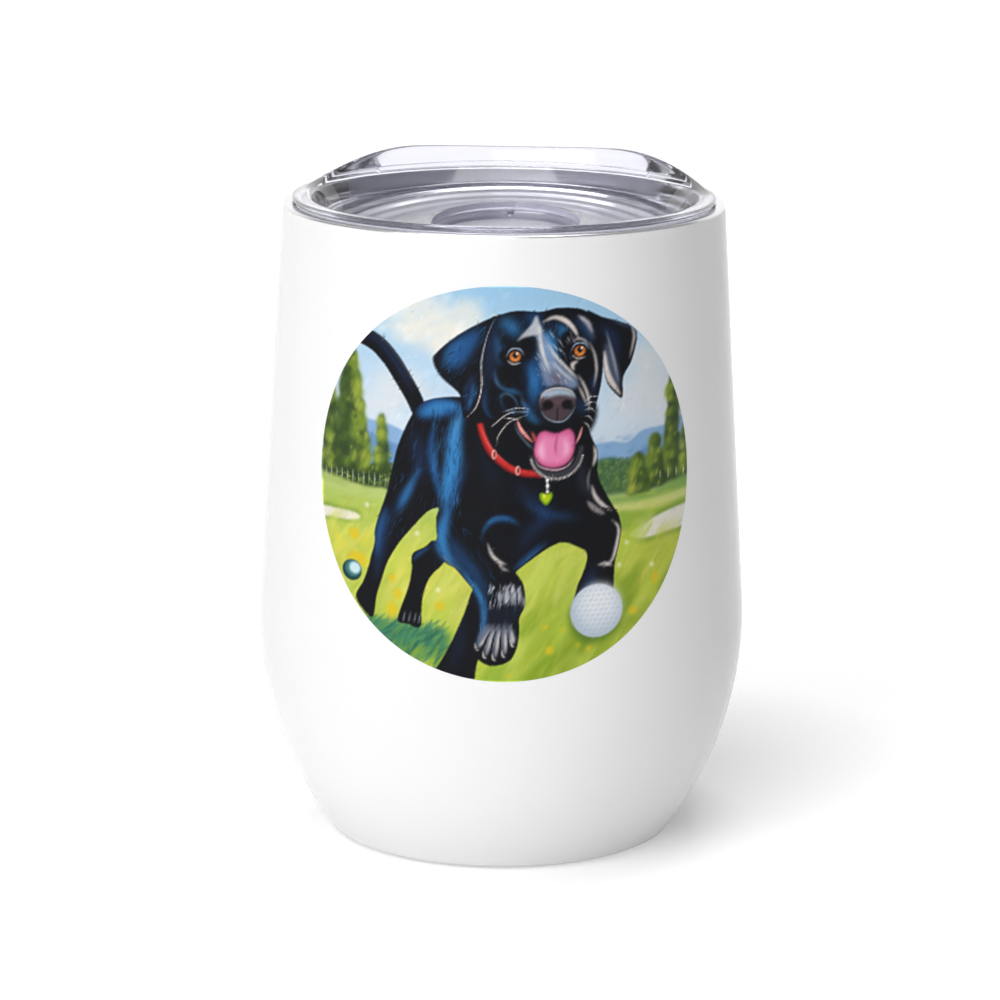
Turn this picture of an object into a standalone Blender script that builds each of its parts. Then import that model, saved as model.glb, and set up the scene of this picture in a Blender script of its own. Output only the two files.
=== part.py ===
"""Stemless double-wall wine tumbler with a clear press-in lid.

All lengths below are millimetres; mesh_object() scales them to metres.
The foot stands on z = 0, the tumbler's axis is +Z and the picture is on the -Y side.
The lid's drinking slot is near -Y too: the lid is turned by LID_TURN in the mouth.
Pieces that touch on the real object are kept GAP apart.
"""

from math import acos, asin, atan2, cos, hypot, pi, radians, sin, tan

import bmesh
import bpy

MM = 0.001
GAP = 0.3

# Body outline: a straight taper from the lip, then one long arc down to the foot.
RIM_HEIGHT = 115.5
RIM_RADIUS = 39.6
BULGE_RADIUS = 44.0
BULGE_HEIGHT = 40.0
BELLY_ARC = 65.0
BODY_SEGMENTS = 80
OUTER_ARC_STEPS = 12
INNER_ARC_STEPS = 7

# Outer shell
SHELL_SHEET = 0.6
LIP_SHEET = 0.9
LIP_INNER_RADIUS = 37.7
LIP_ROUNDING = 0.45
FOOT_OUTER_RADIUS = 29.2
FOOT_INNER_RADIUS = 26.4
FOOT_ROUNDING = 2.0
FOOT_FOLD_HEIGHT = 2.6

# Inner liner
LINER_SHEET = 0.5
WALL_THICKNESS = 4.2
MOUTH_RADIUS = 36.5
MOUTH_DEPTH = 13.0
LINER_FLOOR = 11.5
LINER_CORNER = 7.0

# Base disc with the evacuation port, and what sits inside the vacuum
BASE_SHEET = 0.6
BASE_HEIGHT = 1.5
DIMPLE_RADIUS = 3.2
DIMPLE_DEPTH = 0.8
PORT_RADIUS = 1.0
BEAD_RADIUS = 2.4
BEAD_THICKNESS = 0.7
GETTER_OFFSET = 14.0
GETTER_RADIUS = 5.4
GETTER_THICKNESS = 2.0
GETTER_CUP_SHEET = 0.4
GETTER_CUP_HEIGHT = 1.8
SMALL_SEGMENTS = 48

# Lid, measured from the rim plane
LID_SEGMENTS = 80
HORN_SEGMENTS = 9
LID_TURN = radians(4)
FLANGE_RADIUS = 37.9
FLANGE_TOP = 1.3
DISH_RADIUS = 31.3
DISH_DEPTH = 4.85
DISH_TILT = radians(6.5)
DISH_SHEET = 2.0
CREST_RADIUS = 36.9
CREST_FOOT_RADIUS = 37.3
CREST_RISE = 4.5
CREST_SADDLE = 0.75
BROW_RADIUS = 35.7
BROW_SETBACK = 1.2
BROW_DROP = 0.15
LEDGE_RADIUS = 34.0
LEDGE_HEIGHT = 2.4
LEDGE_RISER = 0.8
FACE_FOOT_RADIUS = 34.9
FACE_TOP_RADIUS = 35.3
PLUG_RADIUS = 35.9
PLUG_TIP_RADIUS = 35.6
PLUG_DEPTH = 12.2
PLUG_WALL = 2.0
GROOVE_RADIUS = 34.7
GROOVE_TOP = -3.3
GROOVE_BOTTOM = -7.3

# Angles from the back of the lid over which its raised part and its front edge end, and the
# upright face and the ledge under it run out
CREST_FULL = radians(30)
CREST_END = radians(84)
BROW_FULL = radians(60)
BROW_END = radians(95)
FACE_FULL = radians(41)
HORN_TIP = radians(48.5)
LEDGE_FULL = radians(46)

# Recess in the dish, the drinking slot in it, and the vent in its back wall
RECESS_RADIUS = 13.4
RECESS_CENTRE = 4.6
RECESS_FRONT_RADIUS = 30.2
RECESS_DEPTH = 1.6
BOSS_MARGIN = 1.8
BOSS_FRONT_RADIUS = 34.0
BOSS_SHEET = 1.9
SLOT_LENGTH = 18.0
SLOT_WIDTH = 8.0
SLOT_CENTRE = -24.5
VENT_RADIUS = 0.75
VENT_PLACE = 17.7

# Gasket in the lid's groove
GASKET_SEGMENTS = 56
GASKET_BASE_RADIUS = 35.5
GASKET_LIP_RADIUS = MOUTH_RADIUS - GAP

ARC_CENTRE_RADIUS = BULGE_RADIUS - BELLY_ARC
LIP_DISTANCE = hypot(RIM_RADIUS - ARC_CENTRE_RADIUS, RIM_HEIGHT - BULGE_HEIGHT)
LIP_BEARING = atan2(RIM_HEIGHT - BULGE_HEIGHT, RIM_RADIUS - ARC_CENTRE_RADIUS)
TAPER = LIP_BEARING - acos(BELLY_ARC / LIP_DISTANCE)


def clear_scene():
    for obj in list(bpy.data.objects):
        bpy.data.objects.remove(obj, do_unlink=True)


def make_material(name, colour, roughness, metallic=0.0, transmission=0.0, ior=1.5):
    material = bpy.data.materials.new(name)
    material.use_nodes = True
    shader = material.node_tree.nodes["Principled BSDF"]
    shader.inputs["Base Color"].default_value = (*colour, 1.0)
    shader.inputs["Roughness"].default_value = roughness
    shader.inputs["Metallic"].default_value = metallic
    shader.inputs["Transmission Weight"].default_value = transmission
    shader.inputs["IOR"].default_value = ior
    return material


def mesh_object(name, bm, material, parent=None):
    """Turns a millimetre bmesh into a smooth-shaded object in metres."""
    bmesh.ops.scale(bm, vec=(MM, MM, MM), verts=bm.verts)
    bmesh.ops.recalc_face_normals(bm, faces=bm.faces)
    mesh = bpy.data.meshes.new(name)
    bm.to_mesh(mesh)
    bm.free()
    mesh.shade_smooth()
    mesh.materials.append(material)
    obj = bpy.data.objects.new(name, mesh)
    obj.parent = parent
    bpy.context.scene.collection.objects.link(obj)
    return obj


def rounded(corners, steps=2):
    """Points along a line of (r, z, fillet) corners; each filleted corner gives steps + 1 points."""
    points = []
    last = len(corners) - 1
    for index, (r, z, fillet) in enumerate(corners):
        if fillet == 0 or index in (0, last):
            points.append((r, z))
            continue
        before, after = corners[index - 1], corners[index + 1]
        reach_in = hypot(before[0] - r, before[1] - z)
        reach_out = hypot(after[0] - r, after[1] - z)
        to_before = ((before[0] - r) / reach_in, (before[1] - z) / reach_in)
        to_after = ((after[0] - r) / reach_out, (after[1] - z) / reach_out)
        cosine = to_before[0] * to_after[0] + to_before[1] * to_after[1]
        half = acos(max(-1.0, min(1.0, cosine))) / 2
        cut = min(fillet / tan(half), 0.45 * reach_in, 0.45 * reach_out)
        for step in range(steps + 1):
            t = step / steps
            ahead, level, behind = (1 - t) ** 2, 2 * t * (1 - t), t ** 2
            # A quadratic curve with its middle weight set to follow the circle.
            weight = max(0.05, sin(half))
            total = ahead + level * weight + behind
            start = (r + to_before[0] * cut, z + to_before[1] * cut)
            end = (r + to_after[0] * cut, z + to_after[1] * cut)
            points.append((
                (ahead * start[0] + level * weight * r + behind * end[0]) / total,
                (ahead * start[1] + level * weight * z + behind * end[1]) / total,
            ))
    return points


def wall_line(inset, top, bottom, steps):
    """Corners of the body outline moved inwards by inset, from height top down to height bottom."""
    radius = BELLY_ARC - inset
    tangent = (ARC_CENTRE_RADIUS + radius * cos(TAPER), BULGE_HEIGHT + radius * sin(TAPER))
    line = [(tangent[0] - (top - tangent[1]) * tan(TAPER), top, 0)]
    end = -asin((BULGE_HEIGHT - bottom) / radius)
    for step in range(steps + 1):
        angle = TAPER + (end - TAPER) * step / steps
        line.append((ARC_CENTRE_RADIUS + radius * cos(angle), BULGE_HEIGHT + radius * sin(angle), 0))
    return line


def revolve(profile, segments):
    """A bmesh of a closed (r, z) profile turned about the Z axis; ends at r = 0 become poles."""
    bm = bmesh.new()
    ring = [bm.verts.new((r, 0.0, z)) for r, z in profile]
    edges = [bm.edges.new(pair) for pair in zip(ring, ring[1:])]
    if profile[0][0] > 0:
        edges.append(bm.edges.new((ring[-1], ring[0])))
    bmesh.ops.spin(
        bm, geom=ring + edges, cent=(0, 0, 0), axis=(0, 0, 1), angle=2 * pi, steps=segments, use_merge=True
    )
    bmesh.ops.remove_doubles(bm, verts=bm.verts, dist=1e-4)
    return bm


def turned(name, profile, segments, material, parent=None):
    return mesh_object(name, revolve(profile, segments), material, parent)


def build_outer_shell(material):
    lip_under = RIM_HEIGHT - LIP_SHEET
    outside = wall_line(0, RIM_HEIGHT, FOOT_ROUNDING / 2, OUTER_ARC_STEPS)
    outside[0] = (*outside[0][:2], LIP_ROUNDING)
    inside = wall_line(SHELL_SHEET, lip_under, SHELL_SHEET, INNER_ARC_STEPS)
    inside.reverse()
    fold = FOOT_INNER_RADIUS + SHELL_SHEET
    foot = [
        (FOOT_OUTER_RADIUS, 0, FOOT_ROUNDING),
        (FOOT_INNER_RADIUS, 0, SHELL_SHEET),
        (FOOT_INNER_RADIUS, FOOT_FOLD_HEIGHT, 0),
        (fold, FOOT_FOLD_HEIGHT, 0),
        (fold, SHELL_SHEET, 0),
    ]
    lip_middle = (RIM_RADIUS + LIP_INNER_RADIUS) / 2
    start = [(lip_middle, RIM_HEIGHT, 0)]
    end = [
        (LIP_INNER_RADIUS, lip_under, 0),
        (LIP_INNER_RADIUS, RIM_HEIGHT, LIP_ROUNDING / 2),
        (lip_middle, RIM_HEIGHT, 0),
    ]
    profile = rounded(start + outside + foot + inside + end)[:-1]
    return turned("outer_shell", profile, BODY_SEGMENTS, material)


def build_inner_liner(material):
    seam = LIP_INNER_RADIUS - GAP
    under = RIM_HEIGHT - LIP_SHEET
    neck = RIM_HEIGHT - MOUTH_DEPTH
    inside = wall_line(WALL_THICKNESS, neck - 1.5, LINER_FLOOR, INNER_ARC_STEPS)
    inside[-1] = (*inside[-1][:2], LINER_CORNER)
    outside = wall_line(WALL_THICKNESS - LINER_SHEET, neck - 1.5, LINER_FLOOR - LINER_SHEET, INNER_ARC_STEPS)
    outside[-1] = (*outside[-1][:2], LINER_CORNER + LINER_SHEET)
    outside.reverse()
    floor_in = [(0, LINER_FLOOR, 0)]
    floor_out = [(0, LINER_FLOOR - LINER_SHEET, 0)]
    wall_out = MOUTH_RADIUS + LINER_SHEET
    top = [
        (wall_out, neck, 0),
        (wall_out, under, 0),
        (seam, under, 0),
        (seam, RIM_HEIGHT, LIP_ROUNDING / 2),
        (MOUTH_RADIUS, RIM_HEIGHT, LIP_ROUNDING / 2),
        (MOUTH_RADIUS, neck, 0),
    ]
    profile = rounded(floor_out + outside + top + inside + floor_in)
    return turned("inner_liner", profile, BODY_SEGMENTS, material)


def build_base_disc(material):
    edge = FOOT_INNER_RADIUS - GAP
    top = BASE_HEIGHT + BASE_SHEET
    slope = DIMPLE_DEPTH * 1.5
    profile = rounded([
        (PORT_RADIUS, top + DIMPLE_DEPTH, 0),
        (DIMPLE_RADIUS, top + DIMPLE_DEPTH, BASE_SHEET),
        (DIMPLE_RADIUS + slope, top, BASE_SHEET),
        (edge, top, 0),
        (edge, BASE_HEIGHT, 0),
        (DIMPLE_RADIUS + slope, BASE_HEIGHT, BASE_SHEET),
        (DIMPLE_RADIUS, BASE_HEIGHT + DIMPLE_DEPTH, BASE_SHEET),
        (PORT_RADIUS, BASE_HEIGHT + DIMPLE_DEPTH, 0),
    ])
    return turned("base_disc", profile, SMALL_SEGMENTS, material)


def build_port_seal(material):
    """The glass bead that closed the evacuation port: a stem in the port and a dome under it."""
    ceiling = BASE_HEIGHT + DIMPLE_DEPTH - GAP
    stem = PORT_RADIUS - GAP
    dome = rounded([
        (0, ceiling - BEAD_THICKNESS, 0),
        (BEAD_RADIUS, ceiling - BEAD_THICKNESS, BEAD_THICKNESS),
        (BEAD_RADIUS, ceiling, 0),
        (stem, ceiling, 0),
        (stem, ceiling + GAP + BASE_SHEET, 0),
        (0, ceiling + GAP + BASE_SHEET, 0),
    ], steps=4)
    return turned("port_seal", dome, 24, material)


def build_getter(cup_material, pellet_material):
    floor = BASE_HEIGHT + BASE_SHEET + GAP
    inner = GETTER_RADIUS + GAP
    outer = inner + GETTER_CUP_SHEET
    cup = turned("getter_cup", rounded([
        (0, floor, 0),
        (outer, floor, GETTER_CUP_SHEET),
        (outer, floor + GETTER_CUP_HEIGHT, 0),
        (inner, floor + GETTER_CUP_HEIGHT, 0),
        (inner, floor + GETTER_CUP_SHEET, 0),
        (0, floor + GETTER_CUP_SHEET, 0),
    ]), 32, cup_material)
    low = floor + GETTER_CUP_SHEET + GAP
    pellet = turned("getter_pellet", rounded([
        (0, low, 0),
        (GETTER_RADIUS, low, 0),
        (GETTER_RADIUS, low + GETTER_THICKNESS, GAP),
        (0, low + GETTER_THICKNESS, 0),
    ]), 32, pellet_material)
    for obj in (cup, pellet):
        obj.location.x = GETTER_OFFSET * MM


def eased(value, full, end):
    """1 at full, 0 at end, with a smooth start and finish."""
    t = max(0.0, min(1.0, (end - value) / (end - full)))
    return t * t * (3 - 2 * t)


def dish_floor(y):
    return y * tan(DISH_TILT) - DISH_DEPTH


def blend(first, second, share):
    return tuple(a + (b - a) * share for a, b in zip(first, second))


def lid_azimuths():
    """Even steps round the lid, and finer ones where the raised part's upright face runs out."""
    around = [2 * pi * index / LID_SEGMENTS for index in range(LID_SEGMENTS)]
    low, high = FACE_FULL - radians(1), HORN_TIP + radians(1)
    even = [a for a in around if not low < abs((a - pi / 2 + pi) % (2 * pi) - pi) < high]
    fine = [low + (high - low) * step / (HORN_SEGMENTS - 1) for step in range(HORN_SEGMENTS)]
    return sorted(even + [pi / 2 + side * angle for side in (-1, 1) for angle in fine])


def lid_section(azimuth):
    """(r, z) points of the lid's section at one azimuth, from the dish's centre round to its underside."""
    from_back = abs((azimuth - pi / 2 + pi) % (2 * pi) - pi)
    y = sin(azimuth)
    saddle = max(0.0, cos(from_back * 2)) ** 2
    crest = FLANGE_TOP + CREST_RISE * eased(from_back, CREST_FULL, CREST_END) - CREST_SADDLE * saddle
    corner = (DISH_RADIUS, dish_floor(DISH_RADIUS * y))
    setback = BROW_SETBACK * (1 - eased(from_back, BROW_FULL, BROW_END))
    brow = (BROW_RADIUS - setback, crest - BROW_DROP)
    # The back's upright face stands on a ledge; both run out into the plain wall below the brow.
    face = eased(from_back, FACE_FULL, HORN_TIP)
    ledge = eased(from_back, LEDGE_FULL, HORN_TIP)
    foot_r = LEDGE_RADIUS + (FACE_FOOT_RADIUS - LEDGE_RADIUS) * face
    top_r = LEDGE_RADIUS + (FACE_TOP_RADIUS - LEDGE_RADIUS) * face
    meets = min(1.0, (top_r - corner[0]) / (brow[0] - corner[0]))
    face_top = (top_r, corner[1] + (brow[1] - corner[1]) * meets)
    riser_foot = blend(blend(corner, brow, 0.5), (LEDGE_RADIUS, LEDGE_HEIGHT - LEDGE_RISER), ledge)
    riser_top = blend(blend(corner, brow, 0.6), (LEDGE_RADIUS, LEDGE_HEIGHT), ledge)
    face_foot = blend(blend(corner, brow, 0.65), (foot_r, LEDGE_HEIGHT + 0.1), ledge)
    face_top = blend(blend(corner, brow, 0.7), face_top, ledge)
    brow_fillet = 1.6 - 1.3 * face
    plug_inner = PLUG_RADIUS - PLUG_WALL - GAP
    return rounded([
        (0, dish_floor(0), 0),
        (*corner, 0.8),
        (*riser_foot, 0.1),
        (*riser_top, 0.1),
        (*face_foot, 0),
        (*face_top, 0),
        (*brow, brow_fillet),
        (CREST_RADIUS, crest, 0.5),
        (CREST_FOOT_RADIUS, FLANGE_TOP, 0),
        (FLANGE_RADIUS, FLANGE_TOP, 0.35),
        (FLANGE_RADIUS, GAP, 0.3),
        (PLUG_RADIUS, GAP, 0),
        (PLUG_RADIUS, GROOVE_TOP, 0),
        (GROOVE_RADIUS, GROOVE_TOP, 0),
        (GROOVE_RADIUS, GROOVE_BOTTOM, 0),
        (PLUG_RADIUS, GROOVE_BOTTOM, 0),
        (PLUG_TIP_RADIUS, -PLUG_DEPTH, 0.6),
        (plug_inner, -PLUG_DEPTH, 0.6),
        (plug_inner, dish_floor(plug_inner * y) - DISH_SHEET, 0.8),
        (0, dish_floor(0) - DISH_SHEET, 0),
    ])


def loft_lid():
    """The lid without its recess: sections at each azimuth joined by quads."""
    bm = bmesh.new()
    top = bm.verts.new((0, 0, dish_floor(0)))
    underside = bm.verts.new((0, 0, dish_floor(0) - DISH_SHEET))
    columns = []
    for azimuth in lid_azimuths():
        section = lid_section(azimuth)[1:-1]
        columns.append([bm.verts.new((r * cos(azimuth), r * sin(azimuth), z)) for r, z in section])
    for column, following in zip(columns, columns[1:] + columns[:1]):
        bm.faces.new((top, column[0], following[0]))
        bm.faces.new((underside, following[-1], column[-1]))
        for row in range(len(column) - 1):
            bm.faces.new((column[row], column[row + 1], following[row + 1], following[row]))
    return bm


def recess_outline(radius, front_radius, steps=18):
    """Plan of the recess: a half circle towards the back, straight sides, and an arc at the front."""
    points = []
    for step in range(steps + 1):
        angle = pi * step / steps
        points.append((radius * cos(angle), RECESS_CENTRE + radius * sin(angle)))
    spread = asin(radius / front_radius)
    for step in range(steps // 2 + 1):
        angle = -pi / 2 - spread + 2 * spread * step / (steps // 2)
        points.append((front_radius * cos(angle), front_radius * sin(angle)))
    return points


def slot_outline(steps=10):
    """Plan of the drinking slot: two half circles."""
    points = []
    half = (SLOT_LENGTH - SLOT_WIDTH) / 2
    for side in (1, -1):
        for step in range(steps + 1):
            angle = -side * pi / 2 + pi * step / steps
            x = side * half + SLOT_WIDTH / 2 * cos(angle)
            points.append((x, SLOT_CENTRE + SLOT_WIDTH / 2 * sin(angle)))
    return points


def prism(outline, low, high):
    """A closed solid over a plan outline, between two heights that can follow y."""
    bm = bmesh.new()
    bottom = [bm.verts.new((x, y, low(y))) for x, y in outline]
    top = [bm.verts.new((x, y, high(y))) for x, y in outline]
    bm.faces.new(bottom[::-1])
    bm.faces.new(top)
    for index, vertex in enumerate(bottom):
        following = (index + 1) % len(outline)
        bm.faces.new((vertex, bottom[following], top[following], top[index]))
    return bm


def add_boolean(target, helper, operation):
    helper.hide_render = True
    helper.display_type = "WIRE"
    modifier = target.modifiers.new(helper.name, "BOOLEAN")
    modifier.operation = operation
    modifier.solver = "EXACT"
    modifier.object = helper


def build_lid_body(material, parent):
    lid = mesh_object("lid_body", loft_lid(), material, parent)
    boss = recess_outline(RECESS_RADIUS + BOSS_MARGIN, BOSS_FRONT_RADIUS)
    boss_bottom = RECESS_DEPTH + BOSS_SHEET
    add_boolean(lid, mesh_object("recess_boss", prism(
        boss, lambda y: dish_floor(y) - boss_bottom, lambda y: dish_floor(y) - DISH_SHEET / 2
    ), material, parent), "UNION")
    recess = recess_outline(RECESS_RADIUS, RECESS_FRONT_RADIUS)
    add_boolean(lid, mesh_object("recess_cutter", prism(
        recess, lambda y: dish_floor(y) - RECESS_DEPTH, lambda y: dish_floor(y) + DISH_SHEET
    ), material, parent), "DIFFERENCE")
    add_boolean(lid, mesh_object("slot_cutter", prism(
        slot_outline(), lambda y: -2 * PLUG_DEPTH, lambda y: 0.0
    ), material, parent), "DIFFERENCE")
    vent = [
        (VENT_RADIUS * cos(pi * step / 8), VENT_PLACE + VENT_RADIUS * sin(pi * step / 8))
        for step in range(16)
    ]
    add_boolean(lid, mesh_object("vent_cutter", prism(
        vent, lambda y: -2 * PLUG_DEPTH, lambda y: 0.0
    ), material, parent), "DIFFERENCE")
    return lid


def build_lid_gasket(material, parent):
    """A silicone ring with two round lips that press on the mouth."""
    inner = GROOVE_RADIUS + GAP
    top = GROOVE_TOP - GAP
    bottom = GROOVE_BOTTOM + GAP
    middle = (top + bottom) / 2
    web = 0.35
    profile = rounded([
        (inner, bottom, 0),
        (inner, top, 0),
        (GASKET_BASE_RADIUS, top, 0),
        (GASKET_LIP_RADIUS, top - web, web),
        (GASKET_LIP_RADIUS, middle + web, web),
        (GASKET_BASE_RADIUS, middle, web),
        (GASKET_LIP_RADIUS, middle - web, web),
        (GASKET_LIP_RADIUS, bottom + web, web),
        (GASKET_BASE_RADIUS, bottom, 0),
    ])
    return turned("lid_gasket", profile, GASKET_SEGMENTS, material, parent)


def build_tumbler():
    clear_scene()
    white_coat = make_material("white_coat", (0.93, 0.93, 0.93), 0.22)
    brushed_steel = make_material("brushed_steel", (0.62, 0.62, 0.63), 0.3, metallic=1.0)
    solder_glass = make_material("solder_glass", (0.30, 0.31, 0.33), 0.25)
    getter_metal = make_material("getter_metal", (0.33, 0.32, 0.31), 0.6, metallic=1.0)
    clear_plastic = make_material("clear_plastic", (0.96, 0.96, 0.99), 0.03, transmission=1.0, ior=1.57)
    silicone = make_material("clear_silicone", (0.90, 0.91, 0.93), 0.35, transmission=0.6, ior=1.41)

    build_outer_shell(white_coat)
    build_inner_liner(brushed_steel)
    build_base_disc(brushed_steel)
    build_port_seal(solder_glass)
    build_getter(brushed_steel, getter_metal)

    lid_lift = bpy.data.objects.new("lid_lift", None)
    lid_lift.location.z = RIM_HEIGHT * MM
    lid_lift.rotation_euler.z = -LID_TURN
    bpy.context.scene.collection.objects.link(lid_lift)
    build_lid_body(clear_plastic, lid_lift)
    build_lid_gasket(silicone, lid_lift)


build_tumbler()
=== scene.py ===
"""Looks for the lidded wine tumbler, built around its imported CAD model."""

from math import acos, asin, atan2, cos, hypot, pi, radians, sin, sqrt, tan

import bmesh
import bpy
import numpy as np
from mathutils import Matrix, Vector


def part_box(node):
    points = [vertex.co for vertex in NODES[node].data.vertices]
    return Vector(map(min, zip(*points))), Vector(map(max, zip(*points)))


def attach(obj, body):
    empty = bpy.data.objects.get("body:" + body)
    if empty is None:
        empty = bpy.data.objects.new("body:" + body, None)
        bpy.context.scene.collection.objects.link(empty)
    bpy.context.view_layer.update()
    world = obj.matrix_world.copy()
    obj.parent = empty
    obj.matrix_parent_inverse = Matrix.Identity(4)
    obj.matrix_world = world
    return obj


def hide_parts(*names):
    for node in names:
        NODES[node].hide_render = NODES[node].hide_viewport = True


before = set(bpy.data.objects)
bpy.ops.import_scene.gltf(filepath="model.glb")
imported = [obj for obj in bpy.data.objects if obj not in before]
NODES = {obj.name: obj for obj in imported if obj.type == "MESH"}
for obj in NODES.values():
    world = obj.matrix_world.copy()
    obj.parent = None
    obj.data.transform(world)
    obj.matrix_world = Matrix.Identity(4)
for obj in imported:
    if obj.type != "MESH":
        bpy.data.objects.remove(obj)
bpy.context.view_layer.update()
RIM_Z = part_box("outer_shell")[1].z

# Camera, fitted to the photo's framing
CAMERA_DISTANCE = 0.800
CAMERA_PITCH = radians(12.42)
CAMERA_AIM_Z = 0.06073
CAMERA_ROLL = radians(0.43)
CAMERA_LENS = 158.4
CAMERA_SHIFT = -0.0019


def make_camera():
    data = bpy.data.cameras.new("front_camera")
    data.sensor_width = 36.0
    data.lens = CAMERA_LENS
    data.shift_x = CAMERA_SHIFT
    data.clip_start = 0.02
    data.clip_end = 30.0
    camera = bpy.data.objects.new("front_camera", data)
    bpy.context.scene.collection.objects.link(camera)
    height = CAMERA_AIM_Z + CAMERA_DISTANCE * sin(CAMERA_PITCH)
    place = Vector((0, -CAMERA_DISTANCE * cos(CAMERA_PITCH), height))
    turn = Matrix.Rotation(pi / 2 - CAMERA_PITCH, 4, "X") @ Matrix.Rotation(CAMERA_ROLL, 4, "Z")
    camera.matrix_world = Matrix.Translation(place) @ turn
    bpy.context.scene.camera = camera


def new_piece(name, mesh, material=None):
    """An object for the mesh, in the scene."""
    if material:
        mesh.materials.append(material)
    piece = bpy.data.objects.new(name, mesh)
    bpy.context.scene.collection.objects.link(piece)
    return piece


class Nodes:
    """A new material's node tree, with short calls that make and join nodes."""

    def __init__(self, name):
        self.material = bpy.data.materials.new(name)
        self.material.use_nodes = True
        self.tree = self.material.node_tree
        self.shader = self.tree.nodes["Principled BSDF"]

    def add(self, kind, links=None, **settings):
        node = self.tree.nodes.new("ShaderNode" + kind)
        for key, value in settings.items():
            setattr(node, key, value)
        for socket, value in (links or {}).items():
            self.put(node.inputs[socket], value)
        return node

    def put(self, socket, value):
        if isinstance(value, bpy.types.NodeSocket):
            self.tree.links.new(value, socket)
        else:
            socket.default_value = value

    def set(self, **values):
        for key, value in values.items():
            self.put(self.shader.inputs[key.replace("_", " ")], value)

    def maths(self, operation, *values):
        node = self.add("Math", dict(enumerate(values)), operation=operation)
        return node.outputs[0]

    def length(self, first, second):
        squares = [self.maths("MULTIPLY", side, side) for side in (first, second)]
        return self.maths("SQRT", self.maths("ADD", *squares))

    def place(self):
        return self.add("TexCoord").outputs["Object"]

    def split(self, vector):
        return self.add("SeparateXYZ", {0: vector}).outputs

    def noise(self, vector, scale, detail=3.0, roughness=0.5):
        links = {"Vector": vector, "Scale": scale, "Detail": detail, "Roughness": roughness}
        return self.add("TexNoise", links).outputs["Fac"]

    def ramp(self, value, low, high, to_low, to_high):
        links = {"Value": value, "From Min": low, "From Max": high, "To Min": to_low, "To Max": to_high}
        return self.add("MapRange", links).outputs[0]

    def mix(self, share, first, second):
        node = self.add("Mix", data_type="RGBA")
        self.put(node.inputs["Factor"], share)
        self.put(node.inputs[6], first)
        self.put(node.inputs[7], second)
        return node.outputs[2]

    def bump(self, height, distance, strength=1.0):
        links = {"Height": height, "Distance": distance, "Strength": strength}
        return self.add("Bump", links).outputs[0]


# Radius, in the noise, of the circle that a full turn of the brushing follows
BRUSHING_SWEEP = 0.004


def make_steel(name, colour):
    """Steel with fine brushing that runs round the axis."""
    n = Nodes(name)
    x, y, z = n.split(n.place())
    turn = n.maths("ARCTAN2", y, x)
    sweep = [n.maths("MULTIPLY", n.maths(way, turn), BRUSHING_SWEEP) for way in ("SINE", "COSINE")]
    along = n.maths("ADD", n.length(x, y), z)
    lines = n.add("CombineXYZ", dict(enumerate([*sweep, along]))).outputs[0]
    fine = n.noise(lines, 4200.0, 4.0, 0.6)
    broad = n.noise(lines, 420.0, 2.0, 0.5)
    tone = n.maths("ADD", n.maths("MULTIPLY", fine, 0.5), n.maths("MULTIPLY", broad, 0.5))
    dark = tuple(0.82 * c for c in colour)
    n.set(Base_Color=n.mix(tone, (*dark, 1), (*colour, 1)), Metallic=0.8,
          Roughness=n.ramp(tone, 0.3, 0.7, 0.46, 0.6), Normal=n.bump(fine, 0.00001, 0.6))
    return n.material


# Where the coating ends below the rim and above the table, and how far its edge takes to fade
LIP_BARE = 0.00045
LIP_EDGE = 0.00015
FOOT_BARE = 0.0004
FOOT_EDGE = 0.0005


def make_coat():
    """White coating that leaves the steel bare on the lip and under the foot."""
    n = Nodes("white_coat")
    place = n.place()
    height = n.split(place)[2]
    orange_peel = n.noise(place, 900.0, 2.0)
    tone = n.noise(place, 60.0, 3.0)
    top = n.ramp(height, RIM_Z - LIP_BARE, RIM_Z - LIP_BARE + LIP_EDGE, 0.0, 1.0)
    underneath = n.ramp(height, FOOT_BARE, FOOT_BARE + FOOT_EDGE, 1.0, 0.0)
    bare = n.maths("MAXIMUM", top, underneath)
    coat = n.mix(tone, (0.925, 0.925, 0.93, 1), (0.945, 0.945, 0.95, 1))
    n.set(Base_Color=n.mix(bare, coat, (0.62, 0.62, 0.64, 1)), Metallic=bare,
          Roughness=n.ramp(bare, 0.0, 1.0, 0.16, 0.24), Normal=n.bump(orange_peel, 0.000004, 0.5),
          IOR=1.5, Specular_IOR_Level=0.15)
    return n.material


def make_clear(name, colour, roughness, ior):
    n = Nodes(name)
    wear = n.noise(n.place(), 350.0, 3.0)
    n.set(Base_Color=(*colour, 1), Roughness=n.ramp(wear, 0.3, 0.8, roughness, roughness * 1.6), IOR=ior,
          Transmission_Weight=1.0)
    return n.material


def make_plain(name, colour, roughness, metallic, scale):
    n = Nodes(name)
    grain = n.noise(n.place(), scale, 4.0)
    dark = tuple(0.7 * c for c in colour)
    n.set(Base_Color=n.mix(grain, (*dark, 1), (*colour, 1)), Roughness=roughness, Metallic=metallic,
          Normal=n.bump(grain, 0.00005, 0.5))
    return n.material


SWEEP_HALF_WIDTH = 3.0
SWEEP_FRONT = -3.0
SWEEP_BACK = 1.5
SWEEP_BEND = 0.45
SWEEP_HEIGHT = 1.5
# Painted light on the floor: where its glow dims into a painted shadow of the cup, and how it brightens far
# away
PAINTED_SHADOW_PLACE = (0.030, 0.045)
PAINTED_SHADOW_REACH = (0.012, 0.058)
PAINTED_SHADOW_GLOW = (0.08, 0.33)
FAR_REACH = (0.2, 3.0)
FAR_GLOW = (0.0, 0.65)
GLOW_SPILL = 0.13


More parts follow.
